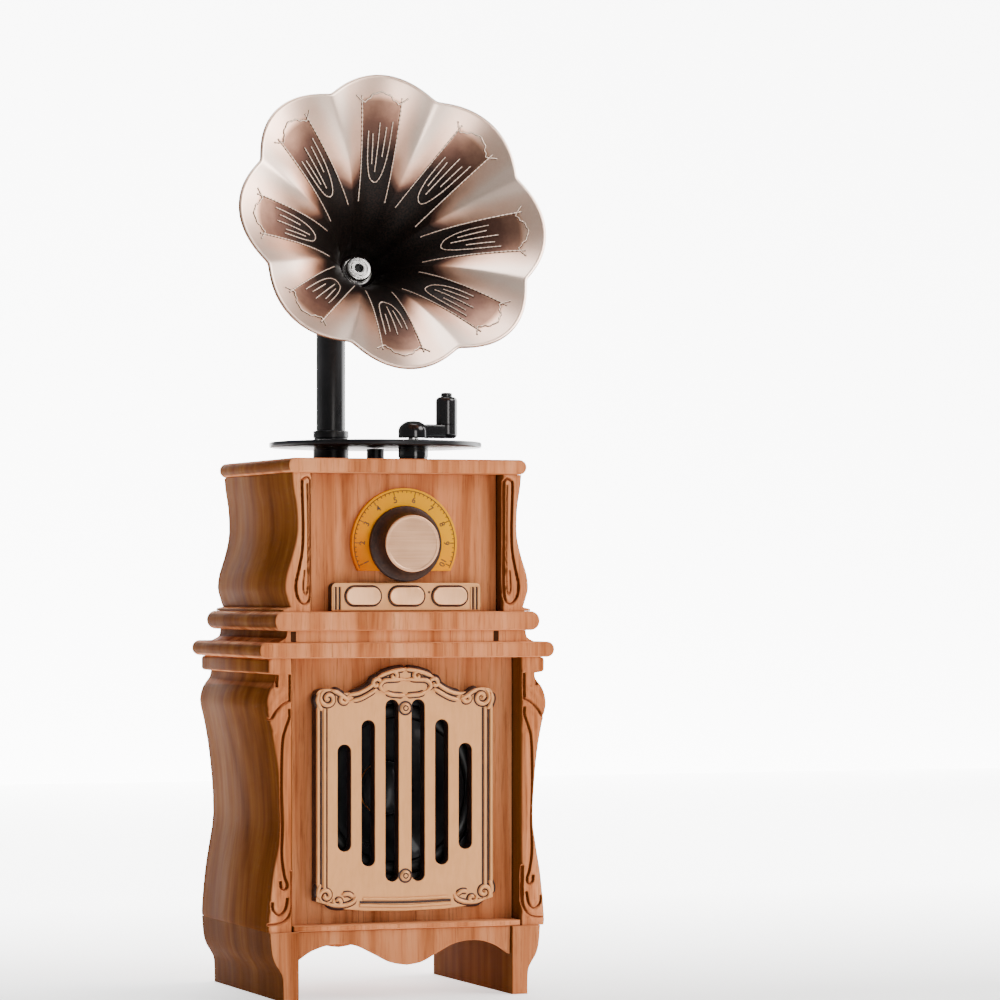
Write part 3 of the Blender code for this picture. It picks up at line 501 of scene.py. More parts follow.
SEAM = 0.13          # how far stacked wooden pieces reach into the gap between their solids
HAIRLINE = 0.03      # the seam left between neighbouring wooden pieces
OVERLAP = 0.2        # how far the front panels and the sill run in behind the posts
POST_BACK = 2.6      # where the carved fronts end and the plain sides start
LEFT_SPREAD = 1.4    # the left foot stands this much further out than the right
BOARD_THICKNESS = 2.6
NECK_NOTCHES, NOTCH_HALF = (-34.8, 27.3), 0.8
FOOT_INNER, APRON_END = 32.0, 31.95
SPEAKER_Z, SPEAKER_HOLE = 60.0, 26.8
KNOB_Z, SHAFT_HOLE = 131.8, 4.7
CAPITAL_REACH, CAPITAL_RADIUS = 42.6, 0.9


def stacked(node):
    """A wooden node's lowest and highest level, each carried on towards its neighbour."""
    low, high = node_box(node)
    return low[2] - SEAM, high[2] + SEAM


UPPER_BASE, UPPER_TOP = stacked("upper_housing")
LOWER_BASE, LOWER_TOP = stacked("lower_housing")
PLINTH_TOP = stacked("plinth_left_side")[1]
UPPER_SIDE = [(36.0, 113.3), (36.9, 116.0), (37.6, 119.0), (37.1, 123.0), (35.5, 128.0),
              (34.2, 133.5), (34.0, 138.0), (34.3, 143.0), (35.1, 148.0), (35.5, UPPER_TOP)]
LOWER_SIDE = [(42.4, LOWER_BASE), (42.6, 21.4), (42.3, 26.5), (41.4, 35.3), (40.1, 43.0),
              (39.0, 51.0), (39.5, 62.0), (40.7, 72.5), (42.1, 80.0), (43.2, 85.2),
              (42.2, 89.3), (40.2, 92.0), (39.7, 94.0)]
PLINTH_SIDE = [(36.8, 0.0), (37.0, 6.6), (38.0, 9.2), (39.4, 11.5), (40.3, 14.5), (40.8, PLINTH_TOP)]
APRON_EDGE = [(0.0, 9.5), (4.5, 10.3), (9.5, 12.9), (15.0, 15.5), (21.5, 16.1), (27.5, 14.5), (31.7, 11.8)]


def upper_side():
    foot = [(38.3, UPPER_BASE), (38.3, UPPER_BASE + 0.5), (38.0, UPPER_BASE + 0.7), (36.9, UPPER_BASE + 0.95)]
    return foot + through(UPPER_SIDE)


def lower_side():
    radius, centre = CAPITAL_RADIUS, CAPITAL_REACH - CAPITAL_RADIUS
    return (through(LOWER_SIDE) + arc((centre, 94.3 + radius), radius, -90, 0, 5)
            + arc((centre, LOWER_TOP - radius), radius, 0, 90, 5))


def bullnose(half, low, high):
    radius = (high - low) / 2
    return mirrored(arc((half - radius, low + radius), radius, -90, 90, 14))


def wooden(obj, *nodes, surface=WOOD):
    return settle(obj, surface, replaces=nodes, angle=50)


def make_mouldings():
    for node, name in (("waist_lower_moulding", "waist_slab_low"),
                       ("waist_upper_moulding", "waist_slab_high"), ("top_cap", "top_cap_board")):
        wooden(extruded(name, [bullnose(node_box(node)[1][0], *stacked(node))], 0, DEPTH, 0.7, 3), node)
    (_, front, base), (half, back, top) = node_box("waist_neck")
    cove = through([(half + 0.3, base - 0.3), (half - 0.2, base + 0.1), (half - 1.4, base + 0.7),
                    (half - 2.1, base + 1.5), (half - 2.4, top + 0.3)], 4)
    wooden(extruded("waist_neck_board", [mirrored(cove)], front, back, 0.2), "waist_neck")
    # Each notch gets a near-black block of painted shade at its front.
    for number, x in enumerate(NECK_NOTCHES, 1):
        cut = rectangle(x - NOTCH_HALF, base, x + NOTCH_HALF, top)
        settle(extruded(f"waist_notch_{number}", [cut], front - 0.08, front + 1, 0.03), SHADOW_WOOD)


def make_plinth():
    outline = [(FOOT_INNER, 0)] + through(PLINTH_SIDE) + [(FOOT_INNER, PLINTH_TOP)]
    # The skirts and aprons take the darker copy of the walnut: painted shade.
    for sign, name, spread in ((-1, "left", LEFT_SPREAD), (1, "right", 0)):
        skirt = [(sign * (x + spread), z) for x, z in outline]
        wooden(extruded(f"plinth_{name}_skirt", [skirt], 0, DEPTH, 0.5, 3), f"plinth_{name}_side",
               surface=SHADED_LOW_WOOD)
    edge = through(APRON_EDGE) + [(APRON_END, PLINTH_TOP)]
    stretch = (APRON_END + LEFT_SPREAD) / APRON_END
    outline = edge + [(-x * stretch, z) for x, z in reversed(edge) if x > 0]
    for node in ("front_apron", "rear_apron"):
        low, high = node_box(node)
        wooden(extruded(node + "_board", [outline], low[1], high[1], 0.35), node, surface=SHADED_LOW_WOOD)
    low, high = node_box("front_sill")
    half = high[0] + OVERLAP
    wooden(extruded("front_sill_bead", [rectangle(-half, LOWER_BASE, half, high[2])], low[1], high[1] + 0.3,
                    0.6, 4), "front_sill")


def make_housings():
    """Plain sides that run the cabinet's whole depth, with a top and bottom board between them."""
    for tier, side, cavity in (("upper", upper_side(), 29.6), ("lower", lower_side(), 35.2)):
        back = node_box(f"{tier}_housing")[1][1]
        panel_back = node_box(f"{tier}_front_panel")[1][1]
        low, high = side[0][1], side[-1][1]
        reach = cavity - 0.02
        rails = [rectangle(-reach, z, reach, z + BOARD_THICKNESS) for z in (low, high - BOARD_THICKNESS)]
        wooden(extruded(f"{tier}_boards", rails, panel_back + HAIRLINE, back, 0.05, 0), f"{tier}_housing")
        for sign, name in ((-1, "left"), (1, "right")):
            outline = [(sign * x, z) for x, z in [(cavity, low)] + side + [(cavity, high)]]
            wooden(extruded(f"{tier}_{name}_cheek", [outline], POST_BACK + HAIRLINE, back, 0.05, 0))


def make_panels():
    for tier, base, top, hole in (
            ("upper", UPPER_BASE, UPPER_TOP, circle((0, KNOB_Z), SHAFT_HOLE)),
            ("lower", LOWER_BASE, LOWER_TOP, circle((0, SPEAKER_Z), SPEAKER_HOLE, 96))):
        node = f"{tier}_front_panel"
        low, high = node_box(node)
        sheet = rectangle(low[0] - OVERLAP, base, high[0] + OVERLAP, top)
        wooden(extruded(f"{tier}_fascia", [sheet, hole], low[1], high[1], 0.15), node)


# ---- carved posts

def stroke_height(points, strokes):
    """Relief at each point: the sum of the raised beads and cut grooves that pass it."""
    height = np.zeros(len(points))
    for line, width, rise in strokes:
        line = np.array(line)
        nearest = np.full(len(points), 1e9)
        for a, b in zip(line[:-1], line[1:]):
            along = b - a
            t = np.clip(((points - a) @ along) / max(along @ along, 1e-9), 0, 1)
            nearest = np.minimum(nearest, np.hypot(*(points - a - t[:, None] * along).T))
        height += rise * np.exp(-(nearest / width) ** 2 * 1.6)
    return height


def carved_post(name, side, inner, sign, strokes, rows):
    """A corner post whose front is a fine relief and whose outside follows the side's curve."""
    columns = 44
    heights = np.linspace(side[0][1], side[-1][1], rows)
    outer = np.interp(heights, [p[1] for p in side], [p[0] for p in side])
    across = np.linspace(0, 1, columns)
    x = inner + across[None, :] * (outer[:, None] - inner)
    z = np.repeat(heights[:, None], columns, 1)
    relief = stroke_height(np.column_stack([x.ravel(), z.ravel()]), strokes).reshape(x.shape)
    from_side = np.minimum(outer[:, None] - x, x - inner)
    roundover = np.clip(1 - from_side, 0, 1) ** 2
    depth = np.clip(1.05 - relief + roundover, 0.0, 2.3)
    verts = [world(sign * a, b, c) for a, b, c in zip(x.ravel(), depth.ravel(), z.ravel())]
    faces = [(r * columns + c, r * columns + c + 1, (r + 1) * columns + c + 1, (r + 1) * columns + c)
             for r in range(rows - 1) for c in range(columns - 1)]
    obj = mesh_object(name + "_carving", verts, faces)
    # Painted shade: the cavity layer darkens each point by how deep its groove is cut.
    groove_shade = obj.data.attributes.new("cavity", "FLOAT", "POINT")
    groove_shade.data.foreach_set("value", np.clip((-relief - 0.12) * 1.1, 0, 0.72).ravel().astype(np.float32))
    shape = bmesh.new()
    shape.from_mesh(obj.data)
    border = [e for e in shape.edges if e.is_boundary]
    grown = bmesh.ops.extrude_edge_only(shape, edges=border)["geom"]
    rear = world(0, POST_BACK, 0).y
    for vertex in [g for g in grown if isinstance(g, bmesh.types.BMVert)]:
        vertex.co.y = rear
    bmesh.ops.holes_fill(shape, edges=[e for e in shape.edges if e.is_boundary])
    bmesh.ops.recalc_face_normals(shape, faces=shape.faces)
    shape.to_mesh(obj.data)
    shape.free()
    settle(obj, WOOD, replaces=[name + "_post"], angle=38)


def grooves(lines):
    """Narrow cuts, each with a soft swelling beside it."""
    return [(line, 0.42, -1.15) for line in lines] + [(line, 1.3, 0.35) for line in lines]


def upper_strokes():
    """A long teardrop: narrow under the cap, swelling into a round bulb at the foot."""
    loop = through([(30.8, 150.9), (31.9, 150.3), (32.3, 148.6), (32.0, 137.0), (32.2, 130.0), (33.2, 124.5),
                    (34.2, 119.7), (33.6, 116.2), (31.8, 114.3), (30.1, 115.6), (29.7, 120.0), (29.7, 136.0),
                    (29.7, 148.6), (30.0, 150.3), (30.6, 150.9)], 5)
    inner = through([(30.7, 149.0), (30.5, 137.0), (30.5, 128.0), (30.6, 119.6), (31.2, 117.0), (31.9, 119.0),
                     (31.5, 124.0)], 5)
    return grooves([loop]) + [(inner, 0.3, -0.5)]


def lower_strokes():
    """A hooked leaf under the capital, a long tapering leaf with a curled tip, and a drop-shaped foot."""
    cuts = [[(39.9, 93.9), (39.9, 90.6)], [(36.0, 93.9), (36.0, 86.4)],
            [(36.4, 86.4), (38.2, 85.4), (40.2, 83.4), (41.6, 81.3), (42.6, 81.6)],
            [(36.1, 84.0), (36.1, 81.8), (37.3, 78.4), (38.2, 74.4), (38.5, 62.7), (38.2, 51.1), (38.4, 42.4),
             (37.7, 36.6), (36.8, 33.6), (37.6, 32.2), (38.6, 32.9), (38.8, 34.6)],
            [(35.5, 37.4), (35.3, 29.0), (36.0, 25.2), (38.3, 22.9), (42.2, 22.3)],
            [(36.7, 29.8), (37.4, 26.6), (39.2, 25.0), (41.0, 26.6), (41.2, 28.6)]]
    swells = [([(38.0, 89.4), (40.4, 86.8), (41.8, 84.2)], 1.2, 0.45),
              ([(38.2, 83.4), (39.8, 81.6), (40.2, 78.0)], 1.0, 0.4),
              ([(36.5, 76.0), (36.8, 62.0), (36.8, 48.0), (36.4, 38.0)], 0.8, 0.35),
              ([(38.8, 31.0), (39.2, 28.0)], 1.3, 0.5)]
    return grooves([through(line) for line in cuts]) + [(through(line), *size) for line, *size in swells]


def make_posts():
    for sign, name in ((-1, "left"), (1, "right")):
        carved_post(f"upper_{name}", upper_side(), 29.1, sign, upper_strokes(), 260)
        carved_post(f"lower_{name}", lower_side(), 34.9, sign, lower_strokes(), 480)


# ---- speaker

def make_speaker():
    """Heights in these profiles run towards the front, so they are minus Y."""
    centre = (0, 0, SPEAKER_Z)
    front = -node_box("speaker_basket")[0][1]
    roll = [(23.0 + 1.75 * cos(a), front - 0.4 + 1.2 * sin(a))
            for a in [radians(d) for d in range(180, -1, -12)]]
    roll += [(23.0 + 1.3 * cos(a), front - 0.7 + 0.8 * sin(a))
             for a in [radians(d) for d in range(0, 181, 20)]]
    settle(lathe("cone_roll", roll, centre, FORWARD, 128, True), ROLL, replaces=["speaker_surround"])
    mouth, throat_radius, depth, steps = 20.9, 8.2, -21.6, 16
    bow = [(mouth + (throat_radius - mouth) * i / steps,
            front - 0.4 + (depth - front + 0.4) * (i / steps) ** 0.82) for i in range(steps + 1)]
    back = [(r, h - 0.5) for r, h in reversed(bow)]
    settle(lathe("paper_cone", back + bow[::-1], centre, FORWARD, 128, True), PAPER,
           replaces=["speaker_cone"])
    dome = [(7.9 * sin(radians(a)), -20.8 + 3.6 * cos(radians(a))) for a in range(0, 91, 6)]
    settle(lathe("cone_dome", dome + [(7.0, -21.2), (0, -21.2)], centre, FORWARD), PAPER,
           replaces=["dust_cap"])


# ---- grille

GRILLE_SLOTS = [(4.0, 33.7, 86.5), (11.3, 38.3, 80.6), (18.6, 42.7, 73.6)]
GRILLE_EDGE = [(0.0, 25.0), (12.0, 25.3), (22.0, 26.3), (24.6, 27.6), (27.2, 28.4), (27.2, 88.3),
               (26.0, 89.6), (22.4, 89.8), (19.0, 88.7), (14.8, 89.0), (10.6, 90.8), (9.0, 92.4),
               (7.2, 94.2), (3.2, 95.2), (0.0, 95.9)]


def spiral(x, z, radius, turns, start, grow):
    """A scroll: it winds in from its outer end; grow is the way it turns."""
    steps = int(26 * turns)
    line = []
    for i in range(steps + 1):
        a = radians(start) + grow * 2 * pi * turns * (i / steps)
        r = radius * (1 - 0.88 * (i / steps))
        line.append((x + r * cos(a), z + r * sin(a)))
    return line


def on_face(line, y, thin=True):
    """A flat line laid at a depth, its ends drawn to a point if it is thin."""
    last = len(line) - 1
    return [(world(x, y, z), min(1.0, 0.45 + 3.0 * (min(i, last - i) / last)) if thin else 1.0)
            for i, (x, z) in enumerate(line)]


def both_sides(lines):
    return lines + [[(-x, z) for x, z in line] for line in lines]


def paint_wall_shade(obj):
    """Faces that don't look forward get the near-black copper: painted shade on the walls of the plate and
    its openings.
    """
    obj.data.materials.append(SHADOW_COPPER)
    for polygon in obj.data.polygons:
        if polygon.normal.y > -0.35:
            polygon.material_index = 1


def make_grille():
    edge = GRILLE_EDGE[:6] + through(GRILLE_EDGE[5:])[1:]
    slots = [pill(sign * x, (low + high) / 2, 4.0, high - low)
             for x, low, high in GRILLE_SLOTS for sign in (-1, 1)]
    low, high = node_box("speaker_grille")
    plate = extruded("grille_plate", [mirrored(edge)] + slots, low[1] + 0.6, high[1], 0.3, 3)
    settle(plate, COPPER, replaces=["speaker_grille"])
    paint_wall_shade(plate)
    face = low[1] + 0.65
    ribs = both_sides([[(26.6, 31.5), (26.6, 85.0)], [(24.7, 32.0), (24.7, 84.0)]])
    ribs += [[(-14.0, 27.0), (0, 26.5), (14.0, 27.0)], [(-13.0, 28.9), (0, 28.6), (13.0, 28.9)]]
    cuts = both_sides([[(25.7, 31.5), (25.7, 85.0)], [(24.05, 32.0), (24.05, 84.0)]])
    cuts += [[(-14.0, 27.95), (0, 27.6), (14.0, 27.95)]]
    # The grooves beside the ribs are near-black bars of painted shade.
    for name, lines, y, radius, resolution, surface in (("ribs", ribs, face, 0.55, 3, COPPER),
                                                        ("grooves", cuts, face + 0.1, 0.42, 2, SHADOW_COPPER)):
        laid = [on_face(through(line, 8), y, False) for line in lines]
        settle(tube("grille_" + name, laid, radius, resolution), surface)
    scrolls = both_sides([
        spiral(23.6, 87.0, 2.6, 1.4, 60, -1), spiral(19.0, 86.9, 1.5, 1.2, 150, 1),
        through([(22.6, 89.4), (20.6, 88.6), (18.6, 87.2), (17.0, 86.6)]),
        through([(26.4, 88.4), (26.9, 86.6), (26.2, 84.6), (25.4, 83.6)]),
        through([(17.4, 88.0), (14.4, 88.5), (11.6, 89.8), (9.4, 91.4)]),
        through([(16.8, 86.2), (13.8, 86.9), (11.2, 88.2), (8.8, 89.6)]),
        spiral(9.0, 91.2, 1.7, 1.1, 200, -1), spiral(3.6, 93.4, 1.5, 1.1, 20, 1),
        through([(8.6, 93.0), (6.4, 94.0), (3.8, 94.8), (1.4, 95.2), (0, 95.3)]),
        through([(6.4, 88.8), (7.8, 90.4), (6.6, 92.0), (3.4, 92.3), (0, 92.4)]),
        through([(6.4, 88.8), (4.4, 88.0), (2.2, 87.8), (0, 87.7)]),
        spiral(24.3, 30.1, 2.1, 1.3, -60, 1), spiral(20.6, 28.3, 1.5, 1.1, 30, -1),
        through([(24.2, 27.9), (21.6, 27.2), (18.6, 27.2), (16.2, 28.0), (15.0, 29.4)]),
        through([(26.6, 29.4), (26.7, 31.6), (26.0, 33.4)]),
        through([(19.4, 30.2), (17.4, 30.4), (15.8, 29.4)])])
    for name, y, radius, surface in (("grille_scrolls", face - 0.2, 0.62, COPPER),
                                     ("grille_scroll_shadows", face + 1.0, 1.5, SHADOW_COPPER)):
        settle(tube(name, [on_face(line, y) for line in scrolls], radius, 3), surface)
    top = -face + 0.55
    head = [(0, top + 0.25), (0.5, top + 0.2), (0.55, top - 0.1), (0.8, top - 0.1), (0.9, top + 0.15),
            (1.3, top), (1.6, top - 0.35), (1.6, top - 0.7), (0, top - 0.7)]
    # The well and the ring are near-black: a painted shadow round each rosette's head and painted shade in
    # its groove.
    well = [(0, top - 0.42), (2.15, top - 0.42), (2.15, top - 0.9), (0, top - 0.9)]
    ring = [(0.45, top + 0.12), (0.95, top + 0.12), (0.95, top - 0.2), (0.45, top - 0.2)]
    for node in ("grille_screw_top", "grille_screw_bottom"):
        low, high = node_box(node)
        place = (0, 0, (low[2] + high[2]) / 2)
        name = node.replace("screw", "rosette")
        settle(lathe(name + "_ring", ring, place, FORWARD, 48, True), SHADOW_COPPER)
        settle(lathe(name + "_well", well, place, FORWARD, 48), SHADOW_COPPER)
        settle(lathe(name, head, place, FORWARD, 48), COPPER, replaces=[node])

# ---- controls

DIAL_RADIUS, FIGURE_REACH = 16.2, 12.9
DIAL_START, DIAL_SWEEP, DIAL_STEPS = 204.75, 229.5, 45      # degrees, and the number of ticks


def make_knob():
    low, high = node_box("tuning_knob")
    face, back = -low[1], -high[1]
    profile = [(0, face - 0.12), (7.35, face - 0.12), (7.5, face - 0.02), (7.75, face)]
    profile += arc((7.9, face - 0.4), 0.4, 80, 0, 6)
    profile += through([(8.3, face - 0.9), (8.35, 1.6), (8.6, 0.2), (9.25, -1.2), (10.2, -2.2), (10.8, -2.6)])
    profile += arc((10.7, -2.95), 0.3, 60, 0, 4) + [(11.0, back), (3.3, back), (3.3, 1.2), (0, 1.2)]
    knob = lathe("knob_body", profile, (0, 0, KNOB_Z), FORWARD, 128)
    settle(knob, KNOB_METAL, "knob", ["tuning_knob"], 30)
    # The knob's side beyond its face takes the near-black copper: painted shade.
    knob.data.materials.append(SHADOW_COPPER)
    middle = world(0, 0, KNOB_Z)
    for polygon in knob.data.polygons:
        reach = hypot(polygon.center.x - middle.x, polygon.center.z - middle.z) / MM
        if reach > 8.28:
            polygon.material_index = 1


def upright_text(name, words, size, place, turn, y):
    """Raised figures on the front, turned about the Y axis."""
    obj = curve_mesh(name, new_curve(name, "FONT", body=words, size=size * MM, extrude=0.03 * MM,
                                     offset=0.04 * MM, align_x="CENTER", align_y="CENTER"))
    spin = Matrix.Rotation(turn, 4, "Y")
    obj.data.transform(Matrix.Translation(world(place[0], y, place[1])) @ spin @ FORWARD)
    return obj


def make_dial():
    (_, front, base), (_, back, _) = node_box("dial_plate")
    lift = degrees(asin((KNOB_Z - base) / DIAL_RADIUS))
    outline = arc((0, KNOB_Z), DIAL_RADIUS, -lift, 180 + lift, 90)
    plate = extruded("dial_face", [outline, circle((0, KNOB_Z), 3.8)], front, back + 0.25, 0.15)
    settle(plate, YELLOW, replaces=["dial_plate"])
    ink = front - 0.005
    scale = DIAL_RADIUS - 0.75
    lines = [arc((0, KNOB_Z), scale, -lift + 2, 180 + lift - 2, 90)]
    for step in range(DIAL_STEPS + 1):
        angle = radians(DIAL_START - DIAL_SWEEP * step / DIAL_STEPS)
        inner = DIAL_RADIUS - (2.2 if step % 5 == 0 else 1.4)
        lines.append([(r * cos(angle), KNOB_Z + r * sin(angle)) for r in (inner, scale)])
    settle(tube("dial_ticks", [[world(x, ink, z) for x, z in line] for line in lines], 0.13, 1), INK)
    for number in range(10):
        angle = radians(DIAL_START - DIAL_SWEEP * number / 9)
        place = (FIGURE_REACH * cos(angle), KNOB_Z + FIGURE_REACH * sin(angle))
        settle(upright_text(f"dial_figure_{number + 1}", str(number + 1), 2.4, place, pi / 2 - angle, ink),
               INK)


def make_buttons():
    (_, front, base), (half, back, top) = node_box("button_plate")
    centres = [((a[0] + b[0]) / 2, (a[2] + b[2]) / 2)
               for a, b in (node_box(f"button_{s}") for s in ("left", "middle", "right"))]
    outline = [(-half, base), (half, base)] + arc((half - 1.5, top - 1.5), 1.5, 0, 90, 8)
    outline += arc((-half + 1.5, top - 1.5), 1.5, 90, 180, 8)
    windows = [pill(x, z, 11.0, 5.7) for x, z in centres]
    plate = extruded("button_fascia", [outline] + windows, front, back, 0.22)
    settle(plate, COPPER, replaces=["button_plate"])
    paint_wall_shade(plate)
    ribs = [[world(sign * x, front + 0.12, base + 0.4), world(sign * x, front + 0.12, top - 1.4)]
            for sign in (-1, 1) for x in (19.9, 21.1, 22.2)]
    settle(tube("button_plate_ribs", ribs, 0.38, 3), COPPER)
    # The grooves beside the ribs are near-black lines of painted shade.
    lines = [[world(sign * x, front - 0.02, base + 0.3), world(sign * x, front - 0.02, top - 1.2)]
             for sign in (-1, 1) for x in (20.5, 21.65)]
    settle(tube("button_plate_grooves", lines, 0.26, 2), SHADOW_COPPER)
    for side, (x, z) in zip(("left", "middle", "right"), centres):
        face = node_box(f"button_{side}")[0][1]
        cap = extruded(f"button_{side}_cap", [pill(x, z, 10.5, 5.2)], face, face + 3.4, 0.35, 4)
        settle(cap, BUTTON_METAL, f"{side}_button", [f"button_{side}"])
        rim = [world(u, front + 0.02, v) for u, v in pill(x, z, 11.15, 5.85)[:-1]]
        settle(tube(f"button_{side}_shadow_line", [rim], 0.25, 2, True), SHADOW_COPPER)
    plug = [(0, -front + 0.02), (0.4, -front + 0.02), (0.4, -front - 0.4), (0, -front - 0.4)]
    settle(lathe("microphone_hole", plug, (6.9, 0, centres[0][1] + 1.1), FORWARD, 24), INK)


# ---- top

def make_disc():
    low, high = node_box("record_disc")
    radius = (high[0] - low[0]) / 2
    top, base = high[2], low[2]
    profile = [(1.3, top - 0.8), (2.9, top - 0.8), (2.9, top), (10.5, top), (10.7, top - 0.12), (11.0, top)]
    r = 11.6
    while r < radius - 1.4:
        profile += [(r, top), (r + 0.18, top - 0.1), (r + 0.36, top)]
        r += 0.62
    profile += arc((radius - 0.45, top - 0.45), 0.45, 90, 0, 5)
    profile += arc((radius - 0.45, base + 0.45), 0.45, 0, -90, 5) + [(1.3, base)]
    settle(lathe("disc_grooved", profile, (*axis_of("record_disc"), 0), UPWARD, 144, True), BLACK,
           replaces=["record_disc"], angle=60)


def turned_black(name, profile, place, body, node, loop=False, segments=72):
    surface = CRANK_BLACK if node.startswith("crank") else BLACK
    settle(lathe(name, profile, (*place, 0), UPWARD, segments, loop), surface, body, [node], 35)


def axis_of(node):
    low, high = node_box(node)
    return (low[0] + high[0]) / 2, (low[1] + high[1]) / 2


def make_crank():
    low, high = node_box("crank_bearing")
    radius, base, top = (high[0] - low[0]) / 2, low[2], high[2]
    x, y = axis_of("crank_bearing")
    profile = [(1.8, top)] + arc((radius - 0.35, top - 0.35), 0.35, 90, 0, 4) + [
        (radius, base + 1.1), (radius - 0.25, base + 0.9), (radius - 0.25, base + 0.6), (radius, base + 0.4),
        (radius, base), (1.8, base)]
    turned_black("crank_post", profile, (x, y), "cabinet", "crank_bearing", loop=True)
    low, high = node_box("crank_arm")
    base, dome = low[2], high[2]
    hub = [(0, dome)] + through([(1.2, dome - 0.08), (2.4, dome - 0.4), (3.7, dome - 1.3), (4.3, dome - 2.3),
                                 (radius, dome - 3.2)], 5)
    hub += [(radius, base + 0.3), (radius - 0.3, base), (1.8, base), (1.8, base + 4.15), (0, base + 4.15)]
    turned_black("crank_hub", hub, (x, y), "crank", "crank_arm")
    tip_x, tip_y = axis_of("crank_grip")
    spoke_top = base + 4.1
    bar = arc((tip_x, tip_y), 2.7, -90, 90, 20) + arc((x + 1.6, y), 3.5, 80, -80, 2)
    spoke = slab("crank_spoke", [bar], spoke_top - base, 0.6, 3)
    spoke.data.transform(Matrix.Translation(world(0, 0, (spoke_top + base) / 2)))
    settle(spoke, CRANK_BLACK, "crank")
    low, high = node_box("crank_grip")
    eye_low, eye_top, r = base, spoke_top, (high[0] - low[0]) / 2
    eye = [(1.4, eye_top), (r - 0.1, eye_top), (r, eye_top - 0.1)] + arc(
        (r - 1.3, eye_low + 1.3), 1.3, 0, -90, 8) + [(1.4, eye_low)]
    settle(lathe("crank_eye", eye, (tip_x, tip_y, 0), UPWARD, 72, True), CRANK_BLACK, "crank", angle=35)
    base, top = low[2], high[2]
    grip = [(1.5, top), (1.9, top)] + arc((r - 1.3, top - 1.3), 1.3, 80, 0, 8)
    grip += [(r, base - 0.25), (r - 0.1, base - 0.35), (1.5, base - 0.35)]
    turned_black("crank_handle", grip, (tip_x, tip_y), "grip", "crank_grip", loop=True)
    low, high = node_box("crank_pin")
    base, top = low[2], high[2]
    pin = [(0, top)] + arc((1.2, top - 0.5), 0.5, 90, 0, 6)
    pin += [(1.7, top - 1.15), (1.2, top - 1.15), (1.2, base), (0, base)]
    turned_black("crank_rivet", pin, (tip_x, tip_y), "crank", "crank_pin", segments=48)


# ---- horn

HORN_X, HORN_Y = axis_of("horn_collar")
HORN_TILT = radians(20)
ELBOW_Z, ELBOW_RADIUS = 203.9, 12.0
THROAT_REACH, BELL_LENGTH, THROAT_RADIUS, NOTCH_RADIUS = 26.0, 37.4, 5.2, 42.5
FLARE = log(NOTCH_RADIUS / THROAT_RADIUS) / BELL_LENGTH
PETALS, PETAL_RISE, PETAL_TURN = 8, 4.1, radians(-2.1)
HORN_TURN = Matrix.Rotation(pi / 2 - HORN_TILT, 4, "X")
BEAD = 1.2            # length of one swelling in an engraved line
PANEL_FOOT, PANEL_HEAD = 0.34, 0.86      # an engraved panel's ends, as shares of the rim's radius


def throat():
    return (HORN_X, HORN_Y - THROAT_REACH * cos(HORN_TILT), ELBOW_Z + THROAT_REACH * sin(HORN_TILT))


def bell_point(angle, share, lift=0.0):
    """A point of the bell's inside, in millimetres along its own axis; lift stands it off inwards."""
    crest = cos((angle - PETAL_TURN) * PETALS / 2)
    wave = (sqrt(crest ** 2 + 0.006) - 0.077) / 0.926
    height = BELL_LENGTH * share
    radius = THROAT_RADIUS * exp(FLARE * height) + PETAL_RISE * wave * share ** 1.3
    slope = (FLARE * THROAT_RADIUS * exp(FLARE * height)
             + 1.3 * PETAL_RISE * wave * share ** 0.3 / BELL_LENGTH)
    radius -= lift / hypot(1, slope)
    height += lift * slope / hypot(1, slope)
    return Vector((radius * cos(angle), radius * sin(angle), height))


def in_horn(point):
    return Matrix.Translation(world(*throat())) @ HORN_TURN @ (Vector(point) * MM)


def along_share(reach):
    """The share of the bell's length at which its notches reach this share of the rim's radius."""
    return log(reach * exp(FLARE * BELL_LENGTH)) / (FLARE * BELL_LENGTH)


def panel_half(reach):
    """Half the angle, in degrees, that an engraved panel spans at a reach."""
    return degrees((2.9 + 3.2 * reach) / (NOTCH_RADIUS * reach))


def panel_lines():
    """One petal's engraving as lines of (degrees from the petal's middle, reach)."""
    sides = [[(sign * panel_half(r), r) for r in np.linspace(PANEL_FOOT, PANEL_HEAD + 0.03, 30)]
             for sign in (-1, 1)]
    corner = panel_half(PANEL_HEAD)
    ears = [[(sign * (corner + 2.4), PANEL_HEAD + 0.045), (sign * (corner + 0.6), PANEL_HEAD + 0.01),
             (sign * (corner - 1.2), PANEL_HEAD - 0.015)] for sign in (-1, 1)]
    half_crown = [(corner - 1.2, 0.845), (corner - 2.4, 0.858), (corner - 3.8, 0.862), (corner - 4.8, 0.882),
                  (corner - 6.6, 0.886), (0, 0.898)]
    crown = half_crown + [(-off, reach) for off, reach in reversed(half_crown[:-1])]
    inner = [[(0.4, 0.46), (0, 0.72)], [(-3.4, 0.54), (-3.6, 0.70)], [(3.4, 0.50), (3.6, 0.66)]]
    hairpin = through([(-6.4, 0.74), (-6.8, 0.56), (-5.6, 0.46), (-2.6, 0.415), (1.6, 0.415), (5.2, 0.45),
                       (6.8, 0.54), (6.2, 0.68)], 5)
    return sides + ears + [through(crown, 5)] + [through(line, 8) for line in inner] + [hairpin]


def smooth(value, low, high):
    t = np.clip((value - low) / (high - low), 0, 1)
    return t * t * (3 - 2 * t)


